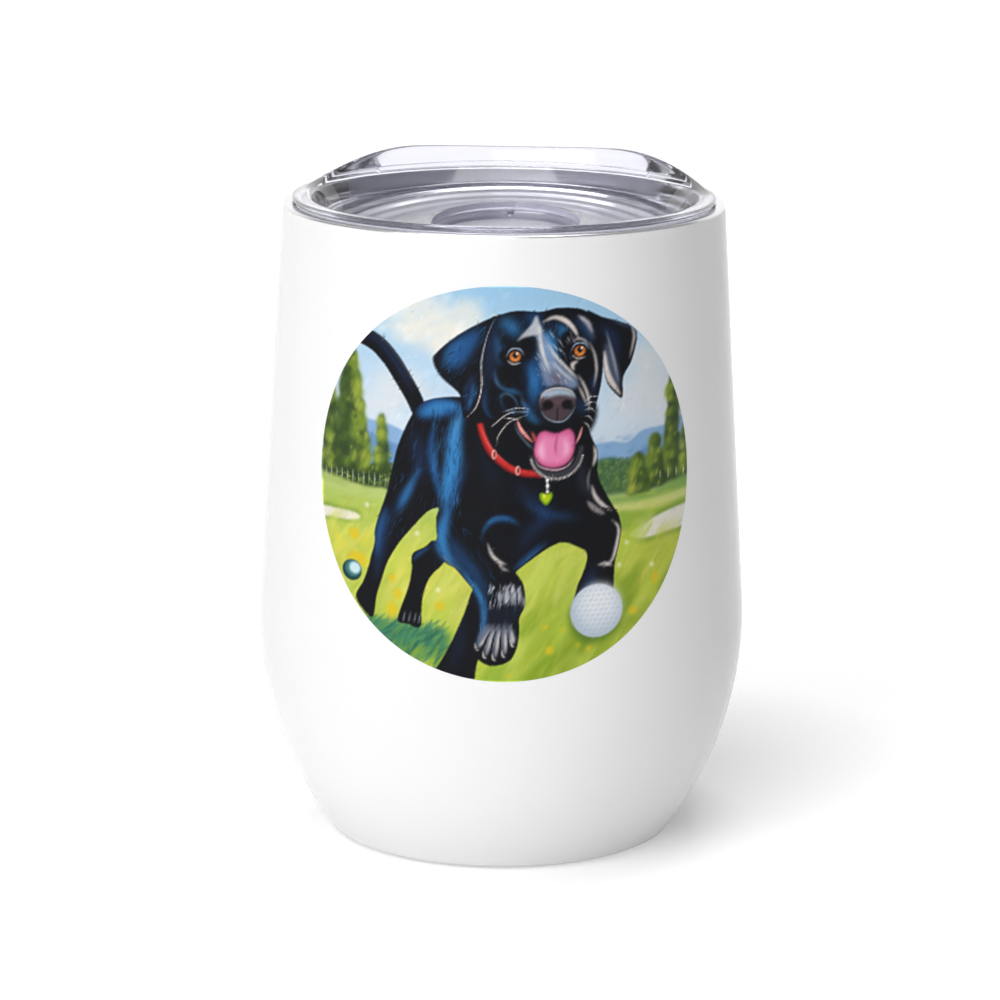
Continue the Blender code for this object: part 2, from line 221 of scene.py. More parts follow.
def make_floor():
    """A pale paper sweep: floor, bend and wall in one sheet, that glows with painted light."""
    line = [(SWEEP_FRONT + (SWEEP_BACK - SWEEP_FRONT) * k / 8, 0.0) for k in range(9)]
    for k in range(1, 17):
        angle = pi / 2 * k / 16
        line.append((SWEEP_BACK + SWEEP_BEND * sin(angle), SWEEP_BEND * (1 - cos(angle))))
    line.append((SWEEP_BACK + SWEEP_BEND, SWEEP_HEIGHT))
    rows = len(line)
    points = [(side * SWEEP_HALF_WIDTH, y, z) for side in (-1, 0, 1) for y, z in line]
    starts = [side * rows + k for side in (0, 1) for k in range(rows - 1)]
    faces = [(k, k + rows, k + rows + 1, k + 1) for k in starts]
    mesh = bpy.data.meshes.new("floor")
    mesh.from_pydata(points, [], faces)
    mesh.shade_smooth()
    n = Nodes("glowing_floor_paper")
    tone = n.noise(n.place(), 3.0)
    paper = n.mix(tone, (0.90, 0.90, 0.90, 1), (0.92, 0.92, 0.92, 1))
    n.set(Base_Color=paper, Roughness=0.9, Specular_IOR_Level=0.0)
    # A glowing table, painted light: its glow dims into a painted shadow behind the cup and to the right, and
    # is brightest far away
    x, y = n.split(n.place())[:2]
    away = n.length(n.maths("SUBTRACT", x, PAINTED_SHADOW_PLACE[0]), n.maths("SUBTRACT", y, PAINTED_SHADOW_PLACE[1]))
    far = n.length(x, y)
    glow = n.maths("ADD", n.ramp(away, *PAINTED_SHADOW_REACH, *PAINTED_SHADOW_GLOW), n.ramp(far, *FAR_REACH, *FAR_GLOW))
    # Matt pieces get little of the glow, so the cup's far side stays in shade.
    spill = n.ramp(n.add("LightPath").outputs["Is Diffuse Ray"], 0.0, 1.0, 1.0, GLOW_SPILL)
    n.set(Emission_Color=(1, 1, 1, 1), Emission_Strength=n.maths("MULTIPLY", glow, spill))
    n.material.cycles.emission_sampling = "NONE"
    new_piece("floor", mesh, n.material)


WORLD_LIGHT = 0.03
ROOM_SEEN = 0.45
LIGHTS = {
    # name: (place, aim, width, height, strength)
    "key": ((-0.72, -1.42, 0.85), (0, 0, 0.08), 2.0, 1.3, 24.1),
    "key_high": ((-0.9, -1.1, 1.5), (0, 0, 0.06), 1.2, 1.0, 2.7),
    "top": ((0.0, 0.1, 1.6), (0, 0, 0), 1.0, 1.0, 13.0),
    "backdrop": ((0.0, 0.5, 1.9), (0, 1.9, 0.5), 1.6, 0.5, 3.5),
    "high_left": ((-1.2, 0.6, 1.5), (0, 0, 0.03), 1.0, 1.0, 1.1),
}


def make_lights():
    for name, (place, aim, width, height, strength) in LIGHTS.items():
        data = bpy.data.lights.new(name, "AREA")
        data.shape = "RECTANGLE"
        data.size = width
        data.size_y = height
        data.energy = strength
        light = bpy.data.objects.new(name, data)
        light.location = place
        light.rotation_euler = (Vector(place) - Vector(aim)).to_track_quat("Z", "Y").to_euler()
        bpy.context.scene.collection.objects.link(light)
    world = bpy.data.worlds.new("studio")
    world.use_nodes = True
    shade = world.node_tree.nodes["Background"]
    shade.inputs[0].default_value = (1.0, 1.0, 1.0, 1)
    # Clear and polished pieces see a brighter room than the one that lights matt pieces, as with cards
    # round a small set.
    paths = world.node_tree.nodes.new("ShaderNodeLightPath")
    room = world.node_tree.nodes.new("ShaderNodeMapRange")
    room.inputs["To Min"].default_value = ROOM_SEEN
    room.inputs["To Max"].default_value = WORLD_LIGHT
    world.node_tree.links.new(paths.outputs["Is Diffuse Ray"], room.inputs["Value"])
    world.node_tree.links.new(room.outputs[0], shade.inputs[1])
    bpy.context.scene.world = world
    bpy.context.scene.view_settings.view_transform = "Standard"
    # A clear lid over polished steel needs long light paths.
    cycles = bpy.context.scene.cycles
    cycles.max_bounces = 24
    cycles.glossy_bounces = 12
    cycles.transmission_bounces = 20


# Lid, in millimetres from the rim plane: the CAD lid's own section in finer steps, with rounder
# corners inside the dish and under it, as the photo's lid has no sharp ring there
MM = 0.001
GAP = 0.3
LID_SEGMENTS = 240
HORN_SEGMENTS = 25
LID_TURN = radians(4)
FLANGE_RADIUS = 37.9
FLANGE_TOP = 1.3
DISH_RADIUS = 31.3
DISH_DEPTH = 4.85
DISH_TILT = radians(6.5)
DISH_SHEET = 2.0
CREST_RADIUS = 36.9
CREST_FOOT_RADIUS = 37.3
CREST_RISE = 4.5
CREST_SADDLE = 0.75
BROW_RADIUS = 35.7
BROW_SETBACK = 1.2
BROW_DROP = 0.15
LEDGE_RADIUS = 34.0
LEDGE_HEIGHT = 2.4
LEDGE_RISER = 0.8
FACE_FOOT_RADIUS = 34.9
FACE_FOOT_RISE = 0.1
FACE_TOP_RADIUS = 35.3
# Where the ledge's and the face's ends lie on the plain wall, as shares of the way from dish to brow
WALL_SHARES = (0.5, 0.6, 0.65, 0.7)
PLUG_RADIUS = 35.9
PLUG_TIP_RADIUS = 35.6
PLUG_DEPTH = 12.2
PLUG_WALL = 2.0
GROOVE_RADIUS = 34.7
GROOVE_TOP = -3.3
GROOVE_BOTTOM = -7.3

# Roundings of the lid's section
DISH_ROUNDING = 2.2
LEDGE_ROUNDING = 0.1
BROW_ROUNDING = 1.6
BROW_SHARPENING = 1.3
CREST_ROUNDING = 0.5
FLANGE_ROUNDING = 0.35
FLANGE_UNDER_ROUNDING = 0.3
PLUG_TIP_ROUNDING = 0.6
UNDERSIDE_ROUNDING = 2.6

# Angles from the back of the lid over which its raised part and its front edge end, and the
# upright face and the ledge under it run out
CREST_FULL = radians(30)
CREST_END = radians(84)
BROW_FULL = radians(60)
BROW_END = radians(95)
FACE_FULL = radians(41)
HORN_TIP = radians(48.5)
LEDGE_FULL = radians(46)

# Recess in the dish, the drinking slot in it, and the vent in its back wall
RECESS_RADIUS = 13.4
RECESS_CENTRE = 4.6
RECESS_FRONT_RADIUS = 30.2
RECESS_DEPTH = 1.6
BOSS_MARGIN = 1.8
BOSS_FRONT_RADIUS = 34.0
BOSS_SHEET = 1.9
SLOT_LENGTH = 18.0
SLOT_WIDTH = 8.0
SLOT_CENTRE = -24.5
VENT_RADIUS = 0.75
VENT_PLACE = 17.7


def rounded(corners, steps=5):
    """Points along a line of (r, z, fillet) corners; each filleted corner gives steps + 1 points."""
    points = []
    last = len(corners) - 1
    for index, (r, z, fillet) in enumerate(corners):
        if fillet == 0 or index in (0, last):
            points.append((r, z))
            continue
        before, after = corners[index - 1], corners[index + 1]
        reach_in = hypot(before[0] - r, before[1] - z)
        reach_out = hypot(after[0] - r, after[1] - z)
        to_before = ((before[0] - r) / reach_in, (before[1] - z) / reach_in)
        to_after = ((after[0] - r) / reach_out, (after[1] - z) / reach_out)
        cosine = to_before[0] * to_after[0] + to_before[1] * to_after[1]
        half = acos(max(-1.0, min(1.0, cosine))) / 2
        cut = min(fillet / tan(half), 0.45 * reach_in, 0.45 * reach_out)
        for step in range(steps + 1):
            t = step / steps
            ahead, level, behind = (1 - t) ** 2, 2 * t * (1 - t), t ** 2
            # A quadratic curve with its middle weight set to follow the circle.
            weight = max(0.05, sin(half))
            total = ahead + level * weight + behind
            start = (r + to_before[0] * cut, z + to_before[1] * cut)
            end = (r + to_after[0] * cut, z + to_after[1] * cut)
            points.append((
                (ahead * start[0] + level * weight * r + behind * end[0]) / total,
                (ahead * start[1] + level * weight * z + behind * end[1]) / total,
            ))
    return points


def eased(value, full, end):
    """1 up to full, 0 from end on, with a smooth start and finish."""
    t = max(0.0, min(1.0, (end - value) / (end - full)))
    return t * t * (3 - 2 * t)


def dish_floor(y):
    return y * tan(DISH_TILT) - DISH_DEPTH


def along_dish(offset):
    """A height that follows the dish's floor at an offset."""
    return lambda y: dish_floor(y) + offset


def blend(first, second, share):
    return tuple(a + (b - a) * share for a, b in zip(first, second))


def lid_azimuths():
    """Even steps round the lid, and finer ones where the raised part's upright face runs out."""
    around = [2 * pi * index / LID_SEGMENTS for index in range(LID_SEGMENTS)]
    low, high = FACE_FULL - radians(1), HORN_TIP + radians(1)
    even = [a for a in around if not low < abs((a - pi / 2 + pi) % (2 * pi) - pi) < high]
    fine = [low + (high - low) * step / (HORN_SEGMENTS - 1) for step in range(HORN_SEGMENTS)]
    return sorted(even + [pi / 2 + side * angle for side in (-1, 1) for angle in fine])


def lid_section(azimuth):
    """(r, z) points of the lid's section at one azimuth, from the dish's centre round to its underside."""
    from_back = abs((azimuth - pi / 2 + pi) % (2 * pi) - pi)
    y = sin(azimuth)
    saddle = max(0.0, cos(from_back * 2)) ** 2
    crest = FLANGE_TOP + CREST_RISE * eased(from_back, CREST_FULL, CREST_END) - CREST_SADDLE * saddle
    corner = (DISH_RADIUS, dish_floor(DISH_RADIUS * y))
    setback = BROW_SETBACK * (1 - eased(from_back, BROW_FULL, BROW_END))
    brow = (BROW_RADIUS - setback, crest - BROW_DROP)
    # The back's upright face stands on a ledge; both run out into the plain wall below the brow.
    face = eased(from_back, FACE_FULL, HORN_TIP)
    ledge = eased(from_back, LEDGE_FULL, HORN_TIP)
    foot_r = LEDGE_RADIUS + (FACE_FOOT_RADIUS - LEDGE_RADIUS) * face
    top_r = LEDGE_RADIUS + (FACE_TOP_RADIUS - LEDGE_RADIUS) * face
    meets = min(1.0, (top_r - corner[0]) / (brow[0] - corner[0]))
    stepped = [
        (LEDGE_RADIUS, LEDGE_HEIGHT - LEDGE_RISER),
        (LEDGE_RADIUS, LEDGE_HEIGHT),
        (foot_r, LEDGE_HEIGHT + FACE_FOOT_RISE),
        (top_r, corner[1] + (brow[1] - corner[1]) * meets),
    ]
    plain = [blend(corner, brow, share) for share in WALL_SHARES]
    riser_foot, riser_top, face_foot, face_top = [blend(*ends, ledge) for ends in zip(plain, stepped)]
    plug_inner = PLUG_RADIUS - PLUG_WALL - GAP
    return rounded([
        (0, dish_floor(0), 0),
        (*corner, DISH_ROUNDING),
        (*riser_foot, LEDGE_ROUNDING),
        (*riser_top, LEDGE_ROUNDING),
        (*face_foot, 0),
        (*face_top, 0),
        (*brow, BROW_ROUNDING - BROW_SHARPENING * face),
        (CREST_RADIUS, crest, CREST_ROUNDING),
        (CREST_FOOT_RADIUS, FLANGE_TOP, 0),
        (FLANGE_RADIUS, FLANGE_TOP, FLANGE_ROUNDING),
        (FLANGE_RADIUS, GAP, FLANGE_UNDER_ROUNDING),
        (PLUG_RADIUS, GAP, 0),
        (PLUG_RADIUS, GROOVE_TOP, 0),
        (GROOVE_RADIUS, GROOVE_TOP, 0),
        (GROOVE_RADIUS, GROOVE_BOTTOM, 0),
        (PLUG_RADIUS, GROOVE_BOTTOM, 0),
        (PLUG_TIP_RADIUS, -PLUG_DEPTH, PLUG_TIP_ROUNDING),
        (plug_inner, -PLUG_DEPTH, PLUG_TIP_ROUNDING),
        (plug_inner, dish_floor(plug_inner * y) - DISH_SHEET, UNDERSIDE_ROUNDING),
        (0, dish_floor(0) - DISH_SHEET, 0),
    ])


def loft_lid():
    """The lid without its recess: sections at each azimuth joined by quads."""
    bm = bmesh.new()
    top = bm.verts.new((0, 0, dish_floor(0)))
    underside = bm.verts.new((0, 0, dish_floor(0) - DISH_SHEET))
    columns = []
    for azimuth in lid_azimuths():
        section = lid_section(azimuth)[1:-1]
        columns.append([bm.verts.new((r * cos(azimuth), r * sin(azimuth), z)) for r, z in section])
    for column, following in zip(columns, columns[1:] + columns[:1]):
        bm.faces.new((top, column[0], following[0]))
        bm.faces.new((underside, following[-1], column[-1]))
        for row in range(len(column) - 1):
            bm.faces.new((column[row], column[row + 1], following[row + 1], following[row]))
    return bm


def recess_outline(radius, front_radius, steps=48):
    """Plan of the recess: a half circle towards the back, straight sides, and an arc at the front."""
    points = []
    for step in range(steps + 1):
        angle = pi * step / steps
        points.append((radius * cos(angle), RECESS_CENTRE + radius * sin(angle)))
    spread = asin(radius / front_radius)
    for step in range(steps // 2 + 1):
        angle = -pi / 2 - spread + 2 * spread * step / (steps // 2)
        points.append((front_radius * cos(angle), front_radius * sin(angle)))
    return points


def slot_outline(steps=16):
    """Plan of the drinking slot: two half circles."""
    points = []
    half = (SLOT_LENGTH - SLOT_WIDTH) / 2
    for side in (1, -1):
        for step in range(steps + 1):
            angle = -side * pi / 2 + pi * step / steps
            x = side * half + SLOT_WIDTH / 2 * cos(angle)
            points.append((x, SLOT_CENTRE + SLOT_WIDTH / 2 * sin(angle)))
    return points


def prism(outline, low, high):
    """A closed solid over a plan outline, between two heights that can follow y."""
    bm = bmesh.new()
    bottom = [bm.verts.new((x, y, low(y))) for x, y in outline]
    top = [bm.verts.new((x, y, high(y))) for x, y in outline]
    bm.faces.new(bottom[::-1])
    bm.faces.new(top)
    for index, vertex in enumerate(bottom):
        following = (index + 1) % len(outline)
        bm.faces.new((vertex, bottom[following], top[following], top[index]))
    return bm


def lid_object(name, bm):
    """A millimetre bmesh from the rim plane as an object in metres, turned as the lid sits."""
    bmesh.ops.scale(bm, vec=(MM, MM, MM), verts=bm.verts)
    bmesh.ops.rotate(bm, matrix=Matrix.Rotation(-LID_TURN, 3, "Z"), verts=bm.verts)
    bmesh.ops.translate(bm, vec=(0, 0, RIM_Z), verts=bm.verts)
    bmesh.ops.recalc_face_normals(bm, faces=bm.faces)
    mesh = bpy.data.meshes.new(name)
    bm.to_mesh(mesh)
    bm.free()
    mesh.shade_smooth()
    return new_piece(name, mesh)


def make_lid(material):
    lid = lid_object("clear_lid", loft_lid())
    lid.data.materials.append(material)
    boss = recess_outline(RECESS_RADIUS + BOSS_MARGIN, BOSS_FRONT_RADIUS)
    recess = recess_outline(RECESS_RADIUS, RECESS_FRONT_RADIUS)
    turns = [pi * step / 12 for step in range(24)]
    vent = [(VENT_RADIUS * cos(turn), VENT_PLACE + VENT_RADIUS * sin(turn)) for turn in turns]
    helpers = [
        ("UNION", boss, along_dish(-RECESS_DEPTH - BOSS_SHEET), along_dish(-DISH_SHEET / 2)),
        ("DIFFERENCE", recess, along_dish(-RECESS_DEPTH), along_dish(DISH_SHEET)),
        ("DIFFERENCE", slot_outline(), lambda y: -2 * PLUG_DEPTH, lambda y: 0.0),
        ("DIFFERENCE", vent, lambda y: -2 * PLUG_DEPTH, lambda y: 0.0),
    ]
    for operation, outline, low, high in helpers:
        helper = lid_object("lid_helper", prism(outline, low, high))
        modifier = lid.modifiers.new("shape", "BOOLEAN")
        modifier.operation = operation
        modifier.solver = "EXACT"
        modifier.object = helper
        bpy.context.view_layer.update()
        graph = bpy.context.evaluated_depsgraph_get()
        shaped = bpy.data.meshes.new_from_object(lid.evaluated_get(graph))
        lid.modifiers.clear()
        lid.data = shaped
        bpy.data.objects.remove(helper)
    lid.data.shade_smooth()
    lid.data.set_sharp_from_angle(angle=radians(32))
    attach(lid, "lid")
    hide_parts("lid_body")


# Picture on the front: a black retriever running on a golf course, painted in hundredths of its radius
CANVAS = 900
BLACK, INK, NAVY = (11, 12, 18), (20, 26, 40), (24, 42, 74)
DEEP, BLUE, SHEEN = (32, 80, 134), (52, 126, 188), (124, 178, 218)
RIM, BONE = (222, 212, 206), (236, 228, 220)
SKY, HAZE, CLOUD = (152, 197, 228), (208, 223, 237), (238, 234, 222)
HILL, FAR_HILL = (104, 146, 192), (138, 174, 212)
SHADE, LEAF, LIGHT_LEAF = (50, 68, 34), (98, 124, 50), (154, 168, 68)
FAIRWAY, GRASS, LIME, GOLD = (180, 198, 112), (146, 176, 58), (196, 204, 74), (222, 200, 52)
TEAL, SAND, BANK, PIT = (44, 112, 96), (232, 228, 216), (118, 150, 54), (14, 12, 16)


def smooth_line(points, closed=False, steps=6):
    """A Catmull-Rom curve through the points, given as pairs or as x, y, x, y and so on."""
    p = np.reshape(points, (-1, 2)).astype(float)
    if closed:
        p = np.vstack([p[-1:], p, p[:2]])
    else:
        p = np.vstack([2 * p[:1] - p[1:2], p, 2 * p[-1:] - p[-2:-1]])
    t = np.arange(steps)[:, None] / steps
    line = [
        0.5 * (2 * b + (c - a) * t + (2 * a - 5 * b + 4 * c - d) * t ** 2 + (3 * b - a - 3 * c + d) * t ** 3)
        for a, b, c, d in zip(p, p[1:], p[2:], p[3:])
    ]
    return np.vstack(line if closed else line + [p[-2:-1]])


def blur(field, radius):
    """Box blurs of the given radius in cells: three each way, or one each way for a radius under 1."""
    half = max(1, round(radius))
    for axis in (0, 1, 0, 1, 0, 1) if radius >= 1 else (0, 1):
        padded = np.pad(field, [(half + 1, half) if k == axis else (0, 0) for k in range(2)])
        total = np.cumsum(padded, axis=axis)
        width = 2 * half + 1
        field = (np.take(total, range(width, total.shape[axis]), axis) -
                 np.take(total, range(total.shape[axis] - width), axis)) / width
    return field


class Painting:
    def __init__(self):
        self.rgb = np.zeros((CANVAS, CANVAS, 3), np.float32)
        self.random = np.random.default_rng(7)
        self.clip = None

    def box(self, low, high):
        """Rows and columns of the canvas that a box in picture units covers; rows run upwards."""
        first = np.clip(((low + 100) / 200 * CANVAS).astype(int), 0, CANVAS)
        last = np.clip(((high + 100) / 200 * CANVAS).astype(int) + 1, 0, CANVAS)
        return slice(first[1], last[1]), slice(first[0], last[0])

    def cover(self, outline, soft):
        """How far each cell near a closed outline is inside it."""
        pad = 3 * soft + 1
        rows, columns = self.box(outline.min(0) - pad, outline.max(0) + pad)
        height = (np.arange(rows.start, rows.stop) + 0.5) / CANVAS * 200 - 100
        across = (np.arange(columns.start, columns.stop) + 0.5) / CANVAS * 200 - 100
        inside = np.zeros((len(height), len(across)), bool)
        for (x0, y0), (x1, y1) in zip(outline, np.roll(outline, -1, axis=0)):
            if y0 == y1:
                continue
            met = (height > min(y0, y1)) & (height <= max(y0, y1))
            crossing = x0 + (height[met] - y0) * (x1 - x0) / (y1 - y0)
            inside[met] ^= across[None, :] > crossing[:, None]
        return rows, columns, blur(inside.astype(np.float32), soft * CANVAS / 200)

    def lay(self, rows, columns, cover, colour):
        if self.clip is not None:
            cover = cover * self.clip[rows, columns]
        cover = cover[..., None]
        under = self.rgb[rows, columns]
        self.rgb[rows, columns] = under + (np.array(colour, np.float32) / 255 - under) * cover

    def patch(self, colour, points, soft=0.3, strength=1.0):
        rows, columns, cover = self.cover(smooth_line(points, True), soft)
        self.lay(rows, columns, cover * strength, colour)

    def stroke(self, colour, points, width, soft=0.25, strength=1.0, taper=1.0):
        """A stroke along the points; its ends narrow by taper."""
        line = smooth_line(points, False, 5)
        ahead = np.gradient(line, axis=0)
        side = np.stack([-ahead[:, 1], ahead[:, 0]], 1) / (np.hypot(*ahead.T)[:, None] + 1e-9)
        along = np.linspace(0, 1, len(line))
        swell = 1 - taper + taper * np.sin(pi * np.clip(along, 0.04, 0.96)) ** 0.7
        reach = side * (swell * width / 2)[:, None]
        rows, columns, cover = self.cover(np.vstack([line + reach, (line - reach)[::-1]]), soft)
        self.lay(rows, columns, cover * strength, colour)

    def strokes(self, rows):
        for row in rows:
            self.stroke(*row)

    def oval(self, colour, centre, size, soft=0.3, strength=1.0):
        turn = np.linspace(0, 2 * pi, 40, endpoint=False)
        outline = np.array(centre) + np.stack([np.cos(turn), np.sin(turn)], 1) * np.array(size)
        rows, columns, cover = self.cover(outline, soft)
        self.lay(rows, columns, cover * strength, colour)

    def dabs(self, count, low, high, colours, length, width, lean, strength=0.6, soft=0.2, wander=0.25):
        """Short brush strokes scattered over a box; lean is their direction in degrees."""
        for _ in range(count):
            x, y = self.random.uniform(low, high)
            angle = radians(lean) + self.random.normal(0, wander)
            reach = length * self.random.uniform(0.5, 1.2) / 2
            dx, dy = reach * cos(angle), reach * sin(angle)
            bow = self.random.normal(0, 0.12) * reach
            colour = colours[self.random.integers(len(colours))]
            tone = self.random.normal(1, 0.05)
            self.stroke(tuple(c * tone for c in colour), [(x - dx, y - dy),
                (x - dy / reach * bow, y + dx / reach * bow), (x + dx, y + dy)],
                width * self.random.uniform(0.6, 1.3), soft, strength * self.random.uniform(0.5, 1.0))

    def mask(self, outlines):
        """Clips what follows to the union of the outlines, until clip is None again."""
        field = np.zeros((CANVAS, CANVAS), np.float32)
        for points in outlines:
            rows, columns, cover = self.cover(smooth_line(points, True), 0.3)
            field[rows, columns] = np.maximum(field[rows, columns], cover)
        self.clip = field


def paint_ground(art):
    art.clip = None
    height = np.linspace(-100, 100, CANVAS)
    stops = np.array([-100, -20, -9, 8, 30, 100])
    shades = np.array([GRASS, LIME, FAIRWAY, (200, 214, 226), HAZE, SKY], float) / 255
    for channel in range(3):
        art.rgb[:, :, channel] = np.interp(height, stops, shades[:, channel])[:, None]
    # Clouds
    for centre, size in [
        ((-48, 86), (17, 10)), ((-40, 76), (16, 9)), ((-30, 70), (12, 10)), ((-22, 84), (10, 9)),
        ((-56, 76), (8, 5)),
    ]:
        art.oval(CLOUD, centre, size, 2.4, 0.75)
    for centre, size in [
        ((84, 52), (16, 12)), ((74, 62), (10, 8)), ((70, 40), (14, 10)), ((-58, 48), (13, 9)),
        ((-66, 38), (12, 7)), ((88, 34), (10, 10)),
    ]:
        art.oval((226, 226, 226), centre, size, 3, 0.6)
    art.dabs(90, (-70, 62), (-10, 96), [CLOUD, (250, 246, 236), HAZE, (190, 214, 234)], 9, 2.4, 20, 0.35, 0.8,
        0.7)
    art.dabs(120, (-95, 30), (100, 98), [SKY, HAZE, (176, 208, 232), (222, 230, 238)], 10, 2.2, 28, 0.25, 0.8,
        0.5)
    # Hills
    art.patch(FAR_HILL, [-80, 27, -72, 29, -62, 27.5, -52, 24, -40, 22, -40, 0, -80, 0], 0.4)
    art.patch(HILL, [-80, 22, -68, 21, -58, 18, -46, 20, -40, 0, -80, 0], 0.5)
    art.patch(FAR_HILL, [44, 17, 56, 20, 66, 19, 74, 24, 86, 25, 100, 27, 100, 0, 44, 0], 0.4)
    art.patch(HILL, [44, 9, 56, 12, 66, 10, 78, 16, 90, 14, 100, 18, 100, 0, 44, 0], 0.5)
    art.dabs(70, (46, 4), (100, 22), [HILL, FAR_HILL, (120, 160, 204)], 6, 1.4, 15, 0.4, 0.4)


def paint_tree(art, x, top, foot, spread, light_side):
    """A conifer: a ragged dark heart, then loose tufts, lit on one side."""
    tall = top - foot
    for side in (-1, 1):
        for share in np.linspace(0.04, 1, int(tall / 4) + 3):
            reach = spread * (0.12 + 0.8 * share ** 0.8) * art.random.uniform(0.75, 1.2)
            art.oval(SHADE, (x + side * reach / 2, top - tall * share), (reach / 2 + 0.6, 0.06 * tall + 0.8),
                0.7, 0.9)
    for _ in range(int(2.2 * spread * sqrt(tall))):
        share = art.random.uniform(0.02, 1)
        across = art.random.uniform(-1, 1)
        lit = across * light_side + art.random.normal(0, 0.35) > 0.05
        tones = [(118, 142, 48), (148, 164, 60), (100, 128, 44), (166, 178, 74)] if lit else [(58, 80, 34),
            (50, 70, 32), (80, 104, 44)]
        colour = tones[art.random.integers(len(tones))]
        reach = spread * (0.1 + 0.9 * share ** 0.8)
        size = art.random.uniform(1, 3.2)
        place = (x + across * reach, top - tall * share)
        art.oval(colour, place, (size * 0.8, size), 0.9, art.random.uniform(0.35, 0.75))
        art.stroke(colour, [(place[0] - size / 2, place[1] - size), place, (place[0] + size / 3,
            place[1] + size)], 0.8, 0.25, 0.6)


def paint_trees(art):
    for x in range(-100, -60, 3):
        art.oval(SHADE, (x, art.random.uniform(-1, 2)), (4, 6.5), 0.8)
    art.dabs(320, (-104, -4), (-61, 13), [SHADE, LEAF, (80, 104, 42), LIGHT_LEAF], 2.6, 1.5, 70, 0.7, 0.2,
        0.9)
    for tree in [(-97, 46, 2, 8, 0.3), (-84, 63, 4, 11, 1), (-67, 31, 4, 4, -1)]:
        paint_tree(art, *tree)
    for x in range(46, 101, 3):
        art.oval((70, 104, 66), (x, 4 + art.random.uniform(-1, 2)), (4, 6), 0.9)
    art.patch((74, 106, 66), [44, 6, 60, 5, 80, 4, 104, 6, 104, -3, 80, -6, 60, -7, 44, -6], 0.8)
    art.dabs(340, (44, -4), (100, 11), [(70, 104, 62), (96, 134, 76), LEAF, (120, 152, 92)], 2.6, 1.5, 70,
        0.65, 0.25, 0.9)
    for tree in [(90.5, 49, 0, 5, -1), (81, 20, -4, 6, -0.6), (99, 24, 0, 5, -1), (72, 12, -7, 6, -0.4)]:
        paint_tree(art, *tree)
    for x in range(-101, -62, 3):
        art.stroke((214, 224, 226), [(x, 2.5), (x + 0.2, -1), (x, -4.5)], 0.55, 0.15, 0.55)
    for x in (84, 88.5, 93, 97):
        art.stroke((226, 228, 220), [(x, 3), (x + 0.2, 0), (x, -2.5)], 0.6, 0.15, 0.6)


def paint_fairway(art):
    art.patch(FAIRWAY, [-104, -1.5, -80, -4.5, -60, -5.5, -40, -8, -40, -16, -104, -13], 0.7, 0.9)
    art.patch((168, 190, 88), [-104, -11, -80, -11, -60, -12, -40, -14, -40, -30, -104, -30], 1.2, 0.8)
    art.patch((128, 166, 80), [56, -9, 76, -8, 100, -2.5, 104, -8, 80, -11, 56, -13], 0.8, 0.9)
    art.patch((208, 212, 132), [56, -12, 80, -11.5, 104, -9, 104, -13, 80, -16, 56, -16], 0.9, 0.8)
    art.patch((132, 168, 62), [56, -16, 80, -17, 104, -13, 104, -18, 80, -24, 56, -26], 1, 0.75)
    art.dabs(260, (-102, -40), (100, -8), [LIME, GRASS, (176, 194, 82), (206, 212, 120)], 9, 1.2, 6, 0.4,
        0.35, 0.15)


def paint_bunkers(art):
    art.patch(BANK, [-104, -17.5, -90, -17.5, -80, -18, -77, -21.5, -82, -24.5, -95, -25.5, -104,
        -26], 0.7, 0.8)
    art.patch(SAND, [-104, -19.5, -92, -19, -82, -19.2, -78.5, -21.5, -83, -23.5, -95, -24, -104, -24.5], 0.4)
    art.patch(BANK, [66, -28, 74, -23, 86, -18, 104, -16, 104, -28, 88, -32, 72, -33], 0.9, 0.8)
    art.patch(SAND, [67, -28.5, 74, -24.5, 86, -19.5, 104, -17, 104, -26, 88, -29.5, 74, -31], 0.4)
    art.dabs(40, (72, -27), (100, -20), [SAND, (224, 222, 220)], 7, 0.9, 14, 0.3, 0.4, 0.1)


def paint_grass(art):
    """Rough grass in the foreground: broad sweeps, then finer blades, flowers and seed heads."""
    art.dabs(240, (-100, -100), (100, -26), [LIME, (168, 190, 66), (190, 202, 92), (206, 208, 96)], 34, 5.5,
        56, 0.5, 1.3, 0.12)
    art.dabs(110, (-98, -66), (0, -24), [(214, 212, 112), (222, 212, 96), (196, 206, 98)], 24, 4.5, 52, 0.5,
        1.2, 0.15)
    art.dabs(120, (10, -104), (100, -52), [(132, 158, 40), (150, 170, 46), (118, 148, 36)], 28, 5, 46, 0.5,
        1.2, 0.15)
    art.dabs(70, (8, -62), (44, -34), [(204, 210, 106), (186, 200, 84), (168, 188, 66)], 26, 4, 58, 0.5,
        1, 0.1)
    art.dabs(420, (-100, -100), (100, -26), [LIME, (176, 196, 70), (206, 210, 92), (150, 174, 54)], 17, 1.5,
        56, 0.35, 0.4, 0.15)
    art.dabs(90, (-94, -46), (-60, -28), [GOLD, (230, 214, 84), LIME], 6, 2.2, 70, 0.4, 0.8, 0.4)
    for centre, size in [
        ((-61, -66), (3, 4)), ((-58, -58), (2.5, 3)), ((-61, -50), (2, 2)), ((-80, -43), (5, 4)),
        ((-35, -62), (2.6, 2.4)), ((-82, -30), (3, 3)), ((24.5, -84), (2.4, 2.2)), ((40, -82), (1.4, 1)),
        ((46, -84), (1.6, 1.4)), ((70, -67), (2.4, 2)), ((2, -97), (1.2, 1)), ((22, -72), (1.8, 0.9)),
        ((70, -76), (1, 1)), ((82, -52), (1.5, 4)), ((32, -74), (1, 1)),
    ]:
        art.oval((222, 192, 36), centre, size, 0.6, 0.8)
    for centre in [(-47.5, -26), (-75, -14.5), (62, -43), (80, -45), (66, -32), (-36, -54)]:
        art.oval((240, 236, 214), centre, (1.2, 1.2), 0.5, 0.7)


